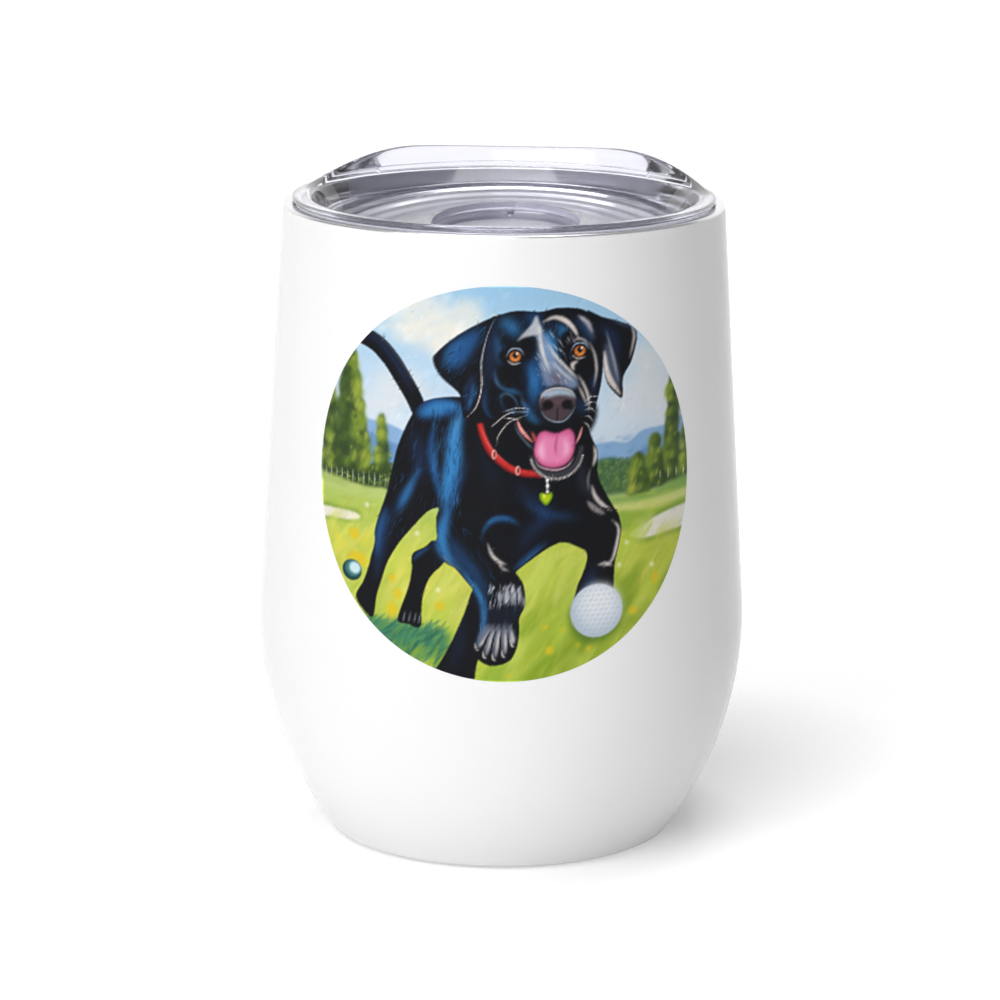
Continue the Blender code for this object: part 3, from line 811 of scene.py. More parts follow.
def paint_shadow(art):
    """The shadow under the dog, and a small marker disc at its edge."""
    art.patch(TEAL, [-78, -72, -62, -72, -44, -73, -30, -76, -34, -86, -50, -90, -70, -84], 1.6, 0.75)
    art.dabs(170, (-80, -92), (-32, -72), [TEAL, (34, 92, 78), (66, 130, 92), (92, 148, 80)], 12, 1.7, 48,
        0.6, 0.3, 0.25)
    art.dabs(60, (-74, -96), (-26, -84), [(120, 156, 52), GRASS], 12, 1.5, 50, 0.5, 0.4, 0.25)
    art.oval((24, 58, 62), (-83.2, -49), (5.3, 5.2))
    art.oval((64, 120, 122), (-82.6, -48), (4.4, 4.2), 0.4)
    art.oval((202, 228, 232), (-81.6, -47.6), (3.1, 3), 0.5)


TAIL = [-90, 73, -80, 71.6, -70, 67.8, -62, 60.5, -55.5, 51.5, -50, 43, -45, 33]
RUMP = [-49, 36, -45, 40, -38, 42.6, -26, 44, -14, 42, -8, 20, -16, -10, -34, -12, -38.5, -12.8, -43, -15.5,
    -50, -23, -57.5, -32, -63.5, -42, -67, -52, -69.5, -60, -71.5, -71, -76, -69, -81, -62, -77, -54, -74,
    -46, -72.5, -40, -70.5, -33, -70.5, -27, -68, -18, -64.5, -8, -61.5, 4, -58.5, 16, -54, 27]
FAR_LEG = [-50, -37, -43, -32.5, -38, -29, -30, -34, -33, -40, -40.5, -48, -44, -57, -45, -66, -45, -72,
    -47.5, -74, -52, -72.6, -57.5, -72, -57, -67, -52.5, -55, -50.3, -45]
BODY = [-40, 28, -43, 10, -36, -12, -34.5, -23, -37.5, -30, -36, -36, -27, -42, -16, -53, -4, -55, 5, -44.5,
    15, -37, 25, -31, 33, -29.5, 45, -34.5, 55, -36, 61, -30, 61.5, -22, 59.5, -15, 53.5, -4.5, 49.8, 4, 49.5,
    15, 46.7, 22, 43, 30, 38, 44, -8, 50, -24, 44, -34, 36]
NEAR_FORELEG = [-34, -37, -26, -43, -17, -53, -14, -63, -13.8, -73, -17, -81, -15.5, -87, -8, -91.5, 2, -89.5,
    6.5, -83, 8, -74, 8, -67, 11, -60, 10, -50, 5, -42, 2, -30, -16, -12, -36, -14]
FAR_FORELEG = [44, -30, 44.5, -38, 42, -46, 39, -53, 39, -62, 57, -62, 59, -53, 59.5, -42, 62, -31, 62.6, -22,
    58, -15]
THIRD_LEG = [-16, -52, -22, -66, -28.5, -80, -36, -93, -44, -104, -20, -104, -14.5, -90, -12, -80, -10, -66]
LEFT_EAR = [-6.5, 84.5, -16, 80.5, -28, 73.5, -37.5, 65.5, -39.5, 61.5, -35.5, 54, -26, 46.5, -24, 42, -23.3,
    36, -21.5, 33.5, -16.5, 38.5, -13.6, 48, -14, 61.5, -11, 72, -6, 83]
RIGHT_EAR = [43.5, 86.8, 51, 83.2, 60, 80.3, 68, 76.5, 70.3, 71.5, 67.5, 60, 63, 52, 62.7, 42, 59, 44, 54,
    50.5, 52, 61.5, 50, 72, 44.5, 84]
HEAD = [-8, 83.5, -2, 86, 6, 87.6, 18, 87, 28, 88.7, 40, 87.6, 46.5, 83, 50.5, 74, 52, 62, 51, 50, 48, 38,
    44.5, 26, 42, 17, 37, 8.5, 29, 4, 21, 5.2, 14, 12, 8, 24, -2, 33, -9, 34, -13.5, 42, -14.2, 55, -12.5, 70]


def paint_body(art):
    tail = np.reshape(TAIL, (-1, 2))
    art.stroke(BLACK, TAIL, 9.2, 0.3, 1, 0.12)
    art.stroke(NAVY, tail[1:-1] + (0.4, 1.4), 3.4, 1, 0.8)
    art.stroke((92, 102, 122), tail[1:-1] + (2.6, 2.8), 1, 0.4, 0.7)
    art.stroke(RIM, [-47, 52, -43, 46.5, -40.5, 42.5], 1.1, 0.3, 0.8)
    for shape in (FAR_LEG, THIRD_LEG, RUMP, BODY, NEAR_FORELEG, FAR_FORELEG):
        art.patch(BLACK, shape)


def paint_sheen(art):
    """Broad blue sheen on the back, flank and chest, and coat hairs along each part."""
    art.mask([FAR_LEG, THIRD_LEG, RUMP, BODY, NEAR_FORELEG, FAR_FORELEG])
    art.strokes([
        (DEEP, [-48, 34, -38, 38, -24, 38], 11, 1.6, 1),
        (BLUE, [-46, 34, -36, 38.5, -24, 40], 5.5, 1.3, 0.9),
        (NAVY, [-50, 26, -46, 12, -47, 0], 8, 2.2, 0.8),
        (DEEP, [-50, -1, -55, -9, -59, -18], 5, 1.6, 0.8),
        (BLUE, [-46, 8, -52, -4, -57, -14], 3.4, 1.1, 0.75),
        (NAVY, [-60, -14, -65, -26, -68, -38, -70, -52], 6, 1.6, 0.9),
        (DEEP, [-64, -14, -68, -26, -69.5, -40], 4.5, 1.1, 0.9),
        (DEEP, [-38, 32, -40, 18, -38, 4, -34, -10], 4.5, 1.2, 0.9),
        (BLUE, [-23, 38, -27.5, 26, -28, 12, -31, -2, -33, -14], 9.5, 1.5, 1),
        (SHEEN, [-25, 36, -26.5, 28, -27.5, 18], 1.6, 0.9, 0.45),
        (BLUE, [-35, 24, -38, 12, -37, 0], 1.6, 0.8, 0.7),
        (DEEP, [-20, 12, -27, -4, -31, -16, -33, -28], 4, 1.6, 0.8),
        (BLUE, [-31, -12, -34, -24, -33, -34, -25, -42], 7, 1.5, 0.95),
        (DEEP, [-30, -26, -24, -36, -14, -48, -8, -58], 7, 2.2, 0.7),
        (BLUE, [-26, -41, -16, -52, -11.5, -61, -11.5, -72, -14.5, -81], 3.6, 1, 0.85),
        (NAVY, [4, 2, 16, -8, 22, -16, 13, -24, 8, -34], 6.5, 2.2, 0.9),
        (DEEP, [8, -6, 18, -13, 30, -16, 40, -17], 4, 1.5, 0.6),
        (DEEP, [-12, -23, -6, -17.5, 2, -17, 8, -20], 3, 1, 0.9),
        (BLUE, [-13, -28, -10, -20, -3, -16, 5, -17.5], 1.2, 0.6, 0.8),
        (DEEP, [22, -28, 12, -36, 4, -43], 2.6, 0.8, 0.8),
        (BLUE, [23, -29.2, 14, -35.8, 6, -42.6], 0.9, 0.4, 0.7),
        (NAVY, [48, -42, 46, -52, 49, -60], 7, 2, 0.9),
        (DEEP, [-50, -40, -46, -36, -40, -32], 2.2, 0.7, 0.8),
        (NAVY, [-24, -64, -24, -80, -30, -96], 5, 2.2, 0.6),
        (NAVY, [-14, 24, -8, 10, -6, -4], 7, 3, 0.45),
        ((52, 58, 76), [40, 12, 42, 0, 48, -8], 5, 1.8, 0.6),
    ])
    art.dabs(240, (-40, -16), (-24, 40), [BLUE, (70, 138, 192), DEEP, BLACK], 6, 0.5, 82, 0.4, 0.15, 0.12)
    art.dabs(160, (-68, -30), (-42, 34), [NAVY, DEEP, BLACK, (44, 78, 118)], 6, 0.5, 66, 0.5, 0.12, 0.2)
    art.dabs(150, (-38, -60), (-6, -14), [DEEP, NAVY, BLACK, NAVY], 6, 0.5, 122, 0.5, 0.12, 0.2)
    art.dabs(120, (-6, -40), (38, 2), [NAVY, INK, BLACK], 6, 0.5, 60, 0.4, 0.15, 0.4)
    art.dabs(90, (-14, -80), (8, -56), [(70, 84, 108), NAVY, (104, 120, 144)], 4.5, 0.5, 84, 0.5, 0.12, 0.2)


def paint_rim_light(art):
    """Cream light on the right side, the foreleg and the toes."""
    for points, width, strength in [
        ([47.4, 19, 48.6, 14, 47, 8], 2.2, 0.9), ([46, 8, 44.5, 2, 45, -4], 1, 0.6),
        ([46.4, -1, 48.5, -7, 53, -12, 58, -15], 2.4, 0.9), ([44, -9, 48, -13, 54, -16.5], 3, 0.6),
        ([57.5, -19.5, 61.4, -24, 60.6, -32, 58, -40, 53, -43.5], 1.9, 0.95), ([50, -42, 54.5, -41.5, 58.5,
            -43], 2, 0.8),
        ([-9.5, -29, -7, -35, -3, -38.5, 1, -40], 2, 0.9), ([-4, -37.5, -1.5, -41.5, 2.5, -43.5], 1.4, 0.8),
        ([-34, -36, -30, -40, -24, -43.5], 0.7, 0.5),
    ]:
        art.stroke(RIM, points, width, 0.35, strength)
    art.dabs(60, (-8, -62), (10, -50), [(150, 160, 178), (196, 196, 200), (112, 124, 146)], 5, 0.8, 72, 0.7,
        0.2, 0.15)
    for x, top, foot in [(0.5, -50, -60), (4, -49.5, -61), (7.5, -51, -60), (-3, -53, -60), (10, -56, -62)]:
        art.stroke((200, 202, 208), [(x, top), (x + 0.7, (top + foot) / 2), (x + 0.2, foot)], 2.9, 0.6, 0.75)
    for x in (2.3, 6, 9):
        art.stroke(INK, [(x, -52), (x + 0.8, -56), (x + 0.6, -61)], 0.6, 0.25, 0.7)
    art.patch(INK, [-6, -62, 2, -61, 10, -61, 9, -67, 0, -70, -8, -68], 0.9, 0.75)
    toes = [(-14.6, -83), (-10.4, -87), (-5.4, -88), (-0.2, -86.4), (4.6, -81)]
    for x, foot in toes:
        art.stroke((112, 118, 134), [(x * 0.55, -70), (x * 0.8, -77), (x, foot)], 4.4, 0.6, 0.85)
        art.stroke(BONE, [(x * 0.6 + 1, -73), (x * 0.78 + 1, -78), (x + 0.9, foot + 1)], 1.6, 0.5, 0.75)
        art.stroke(RIM, [(x - 1.3, foot + 3.2), (x - 0.6, foot), (x + 1, foot - 1)], 1, 0.25, 0.8)
    for x, foot in zip((-12.4, -7.6, -2.6, 2.6), (-85, -88, -88, -84)):
        art.stroke(BLACK, [(x * 0.6, -74), (x * 0.82, -79), (x, foot)], 0.9, 0.2, 0.95)
    for x in (-55, -52, -49, -46.5):
        art.stroke((150, 160, 172), [(x + 1.2, -66), (x + 0.5, -69.5), (x, -72)], 0.8, 0.3, 0.7)
    art.clip = None
    for x in range(53, 61):
        art.stroke(BLACK, [(x - 1, -14.5 + (x % 3) * 0.4), (x + 0.6, -12.8 - (x - 53) * 0.3)], 0.7, 0.15, 0.9)


def paint_collar(art):
    art.stroke((120, 24, 30), [-14, 31, -12, 24, -7.5, 16, 1, 9.4, 9, 6.2, 20, 5.2], 3.7, 0.3, 1, 0.1)
    art.stroke((200, 50, 46), [-14, 31, -11.6, 24.4, -7, 16.6, 1, 10, 9, 6.9, 20, 5.8], 2.5, 0.35, 1, 0.1)
    art.stroke((238, 118, 112), [-13, 29, -11, 24, -6.6, 17.4, 1, 11], 0.7, 0.3, 0.7)
    for x, y in ((-6.2, 15.6), (6.6, 7.6)):
        art.oval((226, 180, 172), (x, y), (1.3, 2.4))
        art.oval((150, 30, 34), (x + 0.2, y), (0.7, 1.6))
    art.stroke((196, 204, 204), [22, 4, 22.6, 0, 22.4, -4], 1.3, 0.25, 0.9)
    for y in (2.6, -0.4, -3.4):
        art.oval((236, 238, 232), (22.6, y), (0.9, 0.9), 0.25)
    art.patch((84, 122, 18), [22, -4.6, 25, -3.6, 25.2, -6.8, 22, -10.4, 18.6, -7, 18.6, -3.8])
    art.patch((176, 204, 28), [22, -5, 24.4, -4.2, 24.4, -6.6, 22, -9.4, 19.4, -6.8, 19.4, -4.4], 0.4)
    art.oval((240, 240, 90), (20.8, -5.4), (0.8, 0.9), 0.4)


def paint_ears(art):
    art.patch(BLACK, [-16, 46, -14, 20, -4, 8, 10, 4, 30, 2, 42, 20, 48, 40, 20, 60], 0.8)
    paint_collar(art)
    for shape in (RIGHT_EAR, HEAD, LEFT_EAR):
        art.patch(BLACK, shape)
    art.mask([RIGHT_EAR])
    art.strokes([
        (NAVY, [50, 80, 57, 72, 60, 62], 6, 1.8, 0.9),
        ((74, 84, 106), [53.5, 70, 56.5, 58, 61, 46], 7, 1, 0.95),
        (RIM, [52.6, 66, 54.4, 54, 61.8, 43], 3.4, 0.5, 0.95),
        ((176, 180, 190), [53.5, 76, 57, 64, 60.5, 50], 1.3, 0.5, 0.8),
        (RIM, [66.8, 78, 68.8, 72, 66.4, 61], 1.6, 0.4, 0.85),
        ((60, 84, 120), [54, 82, 61, 79, 67, 76], 1.4, 0.5, 0.7),
    ])
    art.mask([LEFT_EAR])
    art.strokes([
        (DEEP, [-14, 78, -25, 66, -31, 58], 13, 2, 1),
        (BLUE, [-22, 73, -31, 66, -34, 58], 3, 1.5, 0.6),
        (BLACK, [-12, 72, -18, 60, -22, 48], 6, 2, 0.6),
        (NAVY, [-18, 56, -20, 46, -20.5, 37], 5, 1.2, 0.9),
        (BLUE, [-17, 52, -18.5, 44, -20.5, 37], 1.6, 0.7, 0.8),
    ])
    art.dabs(120, (-38, 36), (-8, 82), [DEEP, NAVY, BLUE, BLACK], 6, 0.5, 58, 0.5, 0.12, 0.25)
    art.clip = None
    art.stroke(RIM, [-6.4, 83.6, -10.6, 74, -13.2, 62, -13.2, 49, -16, 39.4, -21, 34], 0.75, 0.2, 0.85)
    art.stroke((128, 150, 180), [-37.6, 65, -39.2, 61.4, -35.4, 54.2, -26, 46.6], 0.6, 0.2, 0.7)
    art.stroke(RIM, [-9, 85, -6.6, 85.6, -4.8, 84.8], 0.7, 0.2, 0.8)


def paint_planes(art):
    """Blue planes of the head, and the black patches round the eyes and on the cheeks."""
    art.mask([HEAD])
    art.strokes([
        (NAVY, [-6, 80, -8, 66, -9, 50], 7, 2.4, 0.9),
        (BLUE, [-4, 83, 2, 80, 8, 75], 7, 2.2, 0.9),
        (BLUE, [-6, 76, -4, 68, -3, 60], 3.2, 1.4, 0.6),
        (DEEP, [8, 84, 16, 84, 12, 76], 6, 2, 0.8),
        (BLUE, [22, 78, 23, 70, 25, 60], 8, 1.8, 1),
        (BLUE, [27, 81, 31, 76, 33, 71], 5, 1.5, 0.9),
        (SHEEN, [21, 76, 22.5, 69, 25, 62], 1.6, 0.9, 0.5),
        (DEEP, [36, 84, 42, 78, 46, 70], 4, 1.5, 0.7),
        (DEEP, [13, 68, 15, 58, 17, 46, 14, 38], 8.5, 2.2, 1),
        (BLUE, [13, 60, 15, 52, 13, 44], 4.2, 1.5, 0.8),
        (BLUE, [-5, 58, -3.5, 52, 2, 48, 9, 46], 2.4, 0.9, 0.9),
        (SHEEN, [-6.4, 57, -5, 51.6, 0, 47.6], 0.9, 0.6, 0.7),
        (BLUE, [-3, 46, 0, 40, 6, 36], 2.4, 0.9, 0.9),
        (SHEEN, [-3.6, 44.5, 0, 46.4, 5, 43, 6, 38], 0.8, 0.4, 0.7),
        (BLUE, [9, 42, 13, 35, 19, 31], 3.4, 1.3, 0.85),
        (DEEP, [-11, 50, -11.5, 38, -7, 32], 2.8, 1.1, 0.8),
        (SHEEN, [8, 46, 9.5, 41, 13, 37], 1, 0.7, 0.6),
        (NAVY, [46, 62, 47, 50, 44, 36], 4, 1.5, 0.8),
        (DEEP, [33, 40, 40, 40, 42, 34], 4, 1.6, 0.6),
    ])
    art.dabs(200, (-12, 36), (18, 84), [DEEP, NAVY, BLACK, DEEP], 5, 0.45, 70, 0.4, 0.15, 0.3)
    art.dabs(70, (18, 58), (34, 82), [BLUE, (66, 134, 190), DEEP], 5, 0.45, 100, 0.4, 0.15, 0.2)
    for points, soft in [
        ([6, 73, 10, 74.5, 14, 72, 14.5, 66, 11, 62, 8.5, 67], 0.7),
        ([30, 76, 35, 77, 38, 72.5, 35.5, 67, 36, 60, 32, 58, 30.5, 64, 28.5, 70], 0.7),
        ([-5, 59, 2, 60, 7, 59.5, 6.5, 53, 2, 49, -3.5, 51], 0.6),
        ([38.5, 58, 46, 63, 47, 56, 43.5, 52, 40.5, 54], 0.5),
        ([-2.2, 44, 1.6, 44.8, 4.6, 42.2, 3, 38, -1, 39], 0.4),
        ([39.6, 47, 43.6, 48.6, 45, 44, 42, 41.5], 0.4),
        ([-4, 66, 2, 69, 8, 66, 6, 61, -1, 61], 0.6),
    ]:
        art.patch(BLACK, points, soft, 0.95)


def paint_blaze(art):
    """Cream blaze: forehead, down the muzzle, and round the right eye."""
    art.patch((132, 152, 186), [15.5, 79, 18, 80, 21, 75, 25, 67, 30, 60, 36, 55, 39, 50, 35, 47.6, 28, 50,
        22, 49, 19, 55, 17.4, 63, 16.4, 71], 0.9, 0.85)
    art.patch((206, 206, 212), [5.5, 72.4, 9.5, 77, 13, 80.5, 15.8, 85.2, 17.8, 81, 19, 77.4, 16.6, 75.4, 13,
        75, 9, 74], 0.5, 0.85)
    for points, width, strength in [
        ([17.2, 80, 18.2, 72, 20.2, 64, 23.6, 56], 1.9, 0.85),
        ([22, 71, 27, 64, 33, 58, 38.6, 52.6], 1.5, 0.95), ([24.6, 62, 30, 56.4, 36.4, 51.4], 1.3, 0.7),
        ([38.4, 55, 42, 49, 44.2, 43, 44.6, 36], 1.5, 0.9),
    ]:
        art.stroke(BONE, points, width, 0.45, strength)
    art.stroke((92, 78, 92), [24, 57, 26.6, 53.4, 31, 51], 5, 1.6, 0.75)
    art.dabs(70, (16, 50), (36, 76), [BONE, (176, 186, 204), (146, 162, 188), (96, 124, 160)], 4.5, 0.6, 122,
        0.5, 0.2, 0.12)
    for points, width in [
        ([19, 81.6, 25, 84, 31, 82.6, 36, 78, 38.6, 73], 2.4), ([27, 83.6, 33, 81, 38, 75], 1.5),
        ([44.5, 71, 47.5, 64, 48.4, 56, 47, 48], 1.4), ([38.6, 62, 35.4, 60, 36.4, 57], 2.2),
        ([35.4, 71, 38.4, 73, 42.4, 71.4, 45, 67], 1.1), ([38.6, 49.6, 41, 45, 43.6, 39], 1.3),
        ([38, 84.6, 43, 81, 46, 75.6], 2.2),
    ]:
        art.stroke(RIM, points, width, 0.35, 0.9)
    art.stroke((120, 128, 148), [40, 84, 44, 79, 47, 72], 3.2, 1, 0.55)


def paint_eyes(art):
    for x, y in ((4.7, 65), (39.4, 67)):
        art.oval(BLACK, (x, y), (5, 4.2), 0.5)
        art.stroke((168, 188, 212), [(x - 5, y - 0.6), (x - 2.4, y + 3.3), (x + 2.4, y + 3.4),
            (x + 4.8, y + 0.4)], 0.9, 0.25, 0.9)
        art.stroke(BONE, [(x - 4.4, y - 2), (x - 1, y - 4), (x + 3.4, y - 3.2)], 0.8, 0.25, 0.85)
        art.oval((178, 96, 40), (x, y), (3.1, 2.9))
        art.oval((228, 146, 70), (x - 0.2, y - 1.1), (2, 1.3), 0.5)
        art.oval((12, 10, 14), (x, y + 0.3), (1.35, 1.5), 0.25)
        art.stroke(BLACK, [(x - 3.4, y + 1.2), (x, y + 2.9), (x + 3.4, y + 1.2)], 1, 0.25, 0.9)
        art.oval((252, 252, 252), (x + 1, y + 1.2), (0.6, 0.6), 0.2)


def paint_mouth(art):
    art.patch(BLACK, [5, 34, 9, 33, 16, 29, 22, 31, 33, 31, 39, 28, 42, 24, 41, 12, 34, 5, 22, 5, 14, 12, 8,
        22], 0.6)
    art.stroke((150, 172, 200), [4.6, 33.6, 6.4, 27, 11, 21.6, 15, 18], 0.9, 0.35, 0.8)
    art.stroke((222, 132, 128), [6, 33, 8.6, 27.4, 14.6, 21.6], 2, 0.3, 0.95)
    art.stroke((246, 196, 190), [6.4, 32, 8.6, 28, 12, 24.6], 0.7, 0.3, 0.8)
    art.stroke((206, 84, 78), [13.6, 27.4, 15.4, 24, 15.8, 21], 1.8, 0.4, 0.9)
    art.stroke((222, 146, 146), [41, 28.6, 39.8, 24.4, 37.6, 20], 1.4, 0.3, 0.9)
    art.patch((206, 92, 138), [16.6, 24, 20, 27.4, 27, 26, 34, 28, 37, 24, 36.6, 16, 33, 10.6, 26, 8.4, 19,
        10.4, 15.2, 16], 0.35)
    art.patch((232, 136, 180), [17.6, 22, 21, 25.6, 25, 24, 33, 25.6, 35.6, 22, 35, 15.4, 31, 11.4, 26, 10.4,
        20, 11.6, 16.6, 16], 0.8, 0.9)
    for points, width in [([20, 22, 19, 17, 21, 13], 3.2), ([31, 23, 33, 18, 31, 14], 2.6)]:
        art.stroke((250, 190, 216), points, width, 1, 0.8)
    art.stroke((150, 50, 92), [28, 26.4, 26.8, 20, 27, 15], 0.9, 0.4, 0.8)
    art.stroke((246, 196, 208), [15.4, 14, 18, 9.6, 26, 7.4, 33, 9, 37, 13.6], 1.1, 0.3, 0.8)
    art.clip = None
    art.stroke((58, 60, 66), [13.6, 15, 16.4, 8.4, 24, 5, 33, 6, 38.6, 11, 41, 19], 3.6, 0.5, 0.95, 0.4)
    for step in range(46):
        angle = radians(196 + 152 * step / 45)
        x, y = 27.4 + 13.6 * cos(angle), 17 + 13.2 * sin(angle)
        art.stroke(BONE, [(x, y), (x + 1.6 * cos(angle), y + 1.8 * sin(angle))], 0.55, 0.12, 0.85)


def paint_nose(art):
    art.mask([HEAD])
    art.oval(INK, (27.2, 39.6), (11.4, 9.4), 1.2)
    art.patch((74, 60, 66), [17.4, 42, 20.4, 46.6, 27.5, 48, 34.6, 46.4, 37.6, 42, 35, 36, 30, 32.4, 25, 32.2,
        20, 35.6], 0.35)
    art.patch((168, 186, 206), [18.6, 44.6, 21, 47.4, 28, 48.4, 34.4, 47, 37, 43.6, 33, 44.6, 28, 45, 22.4,
        44], 0.6, 0.95)
    art.stroke(BONE, [18, 42, 20.6, 46.8, 27.5, 48.6, 34.6, 47, 37.6, 42.6], 0.7, 0.25, 0.9)
    art.stroke((112, 84, 92), [24, 43, 27.6, 41.4, 31.4, 43], 2, 0.9, 0.6)
    for side in (-1, 1):
        art.oval(PIT, (27.6 + side * 5.2, 40.2), (2.9, 2.3), 0.5)
        art.stroke(PIT, [(27.6 + side * 5, 39), (27.6 + side * 7.4, 38), (27.6 + side * 8.6, 39.4)],
            1, 0.35, 0.9)
    art.stroke(PIT, [27.6, 39, 27.4, 35, 27.6, 31], 0.7, 0.3, 0.8)
    art.stroke((176, 190, 206), [18.6, 37.6, 21.4, 34, 26, 31.8, 31, 32, 35, 35.4, 37.4, 39.4], 0.7, 0.25,
        0.8)
    art.clip = None


def paint_whiskers(art):
    for points in [[12, 37, 2, 36.5, -6, 31, -8, 29], [12, 35.6, 2, 32, -4, 25, -5, 20],
            [13, 38.4, 6, 39, -2, 37], [8, 33, 4, 33.6, -2, 34], [42, 41, 46, 43.6, 50, 43],
            [42, 39, 46.4, 40.8, 49.4, 39.6], [42, 36.8, 45.6, 37.6, 48.8, 35], [42, 34, 44.6, 33.6, 47, 31],
            [41.6, 31, 44, 29.4, 45.6, 26]]:
        art.stroke(BONE, points, 0.42, 0.12, 0.9)


def paint_ball(art):
    centre, size = np.array((49.8, -65.2)), np.array((14.3, 13.6))
    art.oval((70, 104, 34), centre + (-1, -3.4), size * 0.98, 1.6, 0.6)
    art.oval((180, 194, 208), centre, size, 0.3)
    art.oval((214, 222, 230), centre + (1.2, 1.8), size * 0.86, 1.8, 0.95)
    art.oval((248, 249, 250), centre + (1, 4.6), size * 0.6, 2.6, 0.9)
    for row in range(-6, 7):
        for column in range(-6, 7):
            place = np.array(((column + (row % 2) / 2) * 2.9, row * 2.5))
            away = np.hypot(*(place / size))
            if away > 0.93:
                continue
            # Dimples narrow towards the ball's edge.
            flat = sqrt(1 - away * away)
            spot = centre + place
            art.oval((160, 176, 196), spot + (-0.3, 0.35), (1.25 * (0.4 + 0.6 * flat),
                1.05 * (0.4 + 0.6 * flat)), 0.45, 0.42)
            art.oval((244, 247, 252), spot + (0.35, -0.5), (0.95 * flat, 0.55 * flat), 0.4, 0.5)


def paint_picture():
    art = Painting()
    for paint in (
        paint_ground, paint_trees, paint_fairway, paint_bunkers, paint_grass, paint_shadow, paint_body,
        paint_sheen, paint_rim_light, paint_ears, paint_planes, paint_blaze, paint_eyes, paint_mouth,
        paint_nose, paint_whiskers, paint_ball,
    ):
        paint(art)
    # Brush texture: short strokes that take up the colour below them
    for _ in range(2600):
        x, y = art.random.uniform(-100, 100, 2)
        colour = art.rgb[int((y + 100) / 200 * (CANVAS - 1)), int((x + 100) / 200 * (CANVAS - 1))] * 255
        angle = radians(art.random.uniform(30, 80))
        reach = art.random.uniform(1.0, 2.6)
        tone = art.random.normal(1, 0.05)
        art.stroke(tuple(colour * tone), [(x - reach * cos(angle), y - reach * sin(angle)),
            (x + reach * cos(angle), y + reach * sin(angle))], art.random.uniform(0.4, 1.0), 0.15, 0.4)
    # Crisper edges, as a print has
    soft = np.stack([blur(art.rgb[:, :, channel], 2) for channel in range(3)], 2)
    return np.clip(art.rgb + 0.7 * (art.rgb - soft), 0, 1)


# Body outline and shell, in millimetres: the CAD shell's own section in finer steps
RIM_HEIGHT = 115.5
RIM_RADIUS = 39.6
BULGE_RADIUS = 44.0
BULGE_HEIGHT = 40.0
BELLY_ARC = 65.0
SHELL_SHEET = 0.6
LIP_SHEET = 0.9
LIP_INNER_RADIUS = 37.7
LIP_ROUNDING = 0.45
FOOT_OUTER_RADIUS = 29.2
FOOT_INNER_RADIUS = 26.4
FOOT_ROUNDING = 2.0
FOOT_FOLD_HEIGHT = 2.6
SHELL_SEGMENTS = 288
SHELL_ARC_STEPS = 60
ARC_CENTRE_RADIUS = BULGE_RADIUS - BELLY_ARC
LIP_DISTANCE = hypot(RIM_RADIUS - ARC_CENTRE_RADIUS, RIM_HEIGHT - BULGE_HEIGHT)
LIP_BEARING = atan2(RIM_HEIGHT - BULGE_HEIGHT, RIM_RADIUS - ARC_CENTRE_RADIUS)
TAPER = LIP_BEARING - acos(BELLY_ARC / LIP_DISTANCE)

# Print on the front
PRINT_HALF_WIDTH = 36.3
PRINT_HALF_HEIGHT = 34.4
PRINT_MIDDLE = 72.55
PRINT_TURN = radians(0.8)
PRINT_LIFT = 0.03
PRINT_CELLS = 354


def wall_line(inset, top, bottom, steps):
    """Corners of the body outline moved inwards by inset, from height top down to height bottom."""
    radius = BELLY_ARC - inset
    tangent = (ARC_CENTRE_RADIUS + radius * cos(TAPER), BULGE_HEIGHT + radius * sin(TAPER))
    line = [(tangent[0] - (top - tangent[1]) * tan(TAPER), top, 0)]
    end = -asin((BULGE_HEIGHT - bottom) / radius)
    for step in range(steps + 1):
        angle = TAPER + (end - TAPER) * step / steps
        line.append((ARC_CENTRE_RADIUS + radius * cos(angle), BULGE_HEIGHT + radius * sin(angle), 0))
    return line


def make_shell(material):
    lip_under = RIM_HEIGHT - LIP_SHEET
    outside = wall_line(0, RIM_HEIGHT, FOOT_ROUNDING / 2, SHELL_ARC_STEPS)
    outside[0] = (*outside[0][:2], LIP_ROUNDING)
    inside = wall_line(SHELL_SHEET, lip_under, SHELL_SHEET, SHELL_ARC_STEPS // 2)[::-1]
    fold = FOOT_INNER_RADIUS + SHELL_SHEET
    lip_middle = (RIM_RADIUS + LIP_INNER_RADIUS) / 2
    profile = rounded([
        (lip_middle, RIM_HEIGHT, 0),
        *outside,
        (FOOT_OUTER_RADIUS, 0, FOOT_ROUNDING),
        (FOOT_INNER_RADIUS, 0, SHELL_SHEET),
        (FOOT_INNER_RADIUS, FOOT_FOLD_HEIGHT, 0),
        (fold, FOOT_FOLD_HEIGHT, 0),
        (fold, SHELL_SHEET, 0),
        *inside,
        (LIP_INNER_RADIUS, lip_under, 0),
        (LIP_INNER_RADIUS, RIM_HEIGHT, LIP_ROUNDING / 2),
        (lip_middle, RIM_HEIGHT, 0),
    ])[:-1]
    turns = [2 * pi * step / SHELL_SEGMENTS for step in range(SHELL_SEGMENTS)]
    points = [(r * MM * cos(turn), r * MM * sin(turn), z * MM) for turn in turns for r, z in profile]
    rows = len(profile)
    faces = []
    for column in range(SHELL_SEGMENTS):
        start, following = column * rows, (column + 1) % SHELL_SEGMENTS * rows
        for row in range(rows):
            below = (row + 1) % rows
            faces.append((start + row, start + below, following + below, following + row))
    mesh = bpy.data.meshes.new("coated_shell")
    mesh.from_pydata(points, [], faces)
    bm = bmesh.new()
    bm.from_mesh(mesh)
    bmesh.ops.recalc_face_normals(bm, faces=bm.faces)
    bm.to_mesh(mesh)
    bm.free()
    mesh.shade_smooth()
    mesh.set_sharp_from_angle(angle=radians(40))
    shell = new_piece("coated_shell", mesh, material)
    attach(shell, "cup")
    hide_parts("outer_shell")


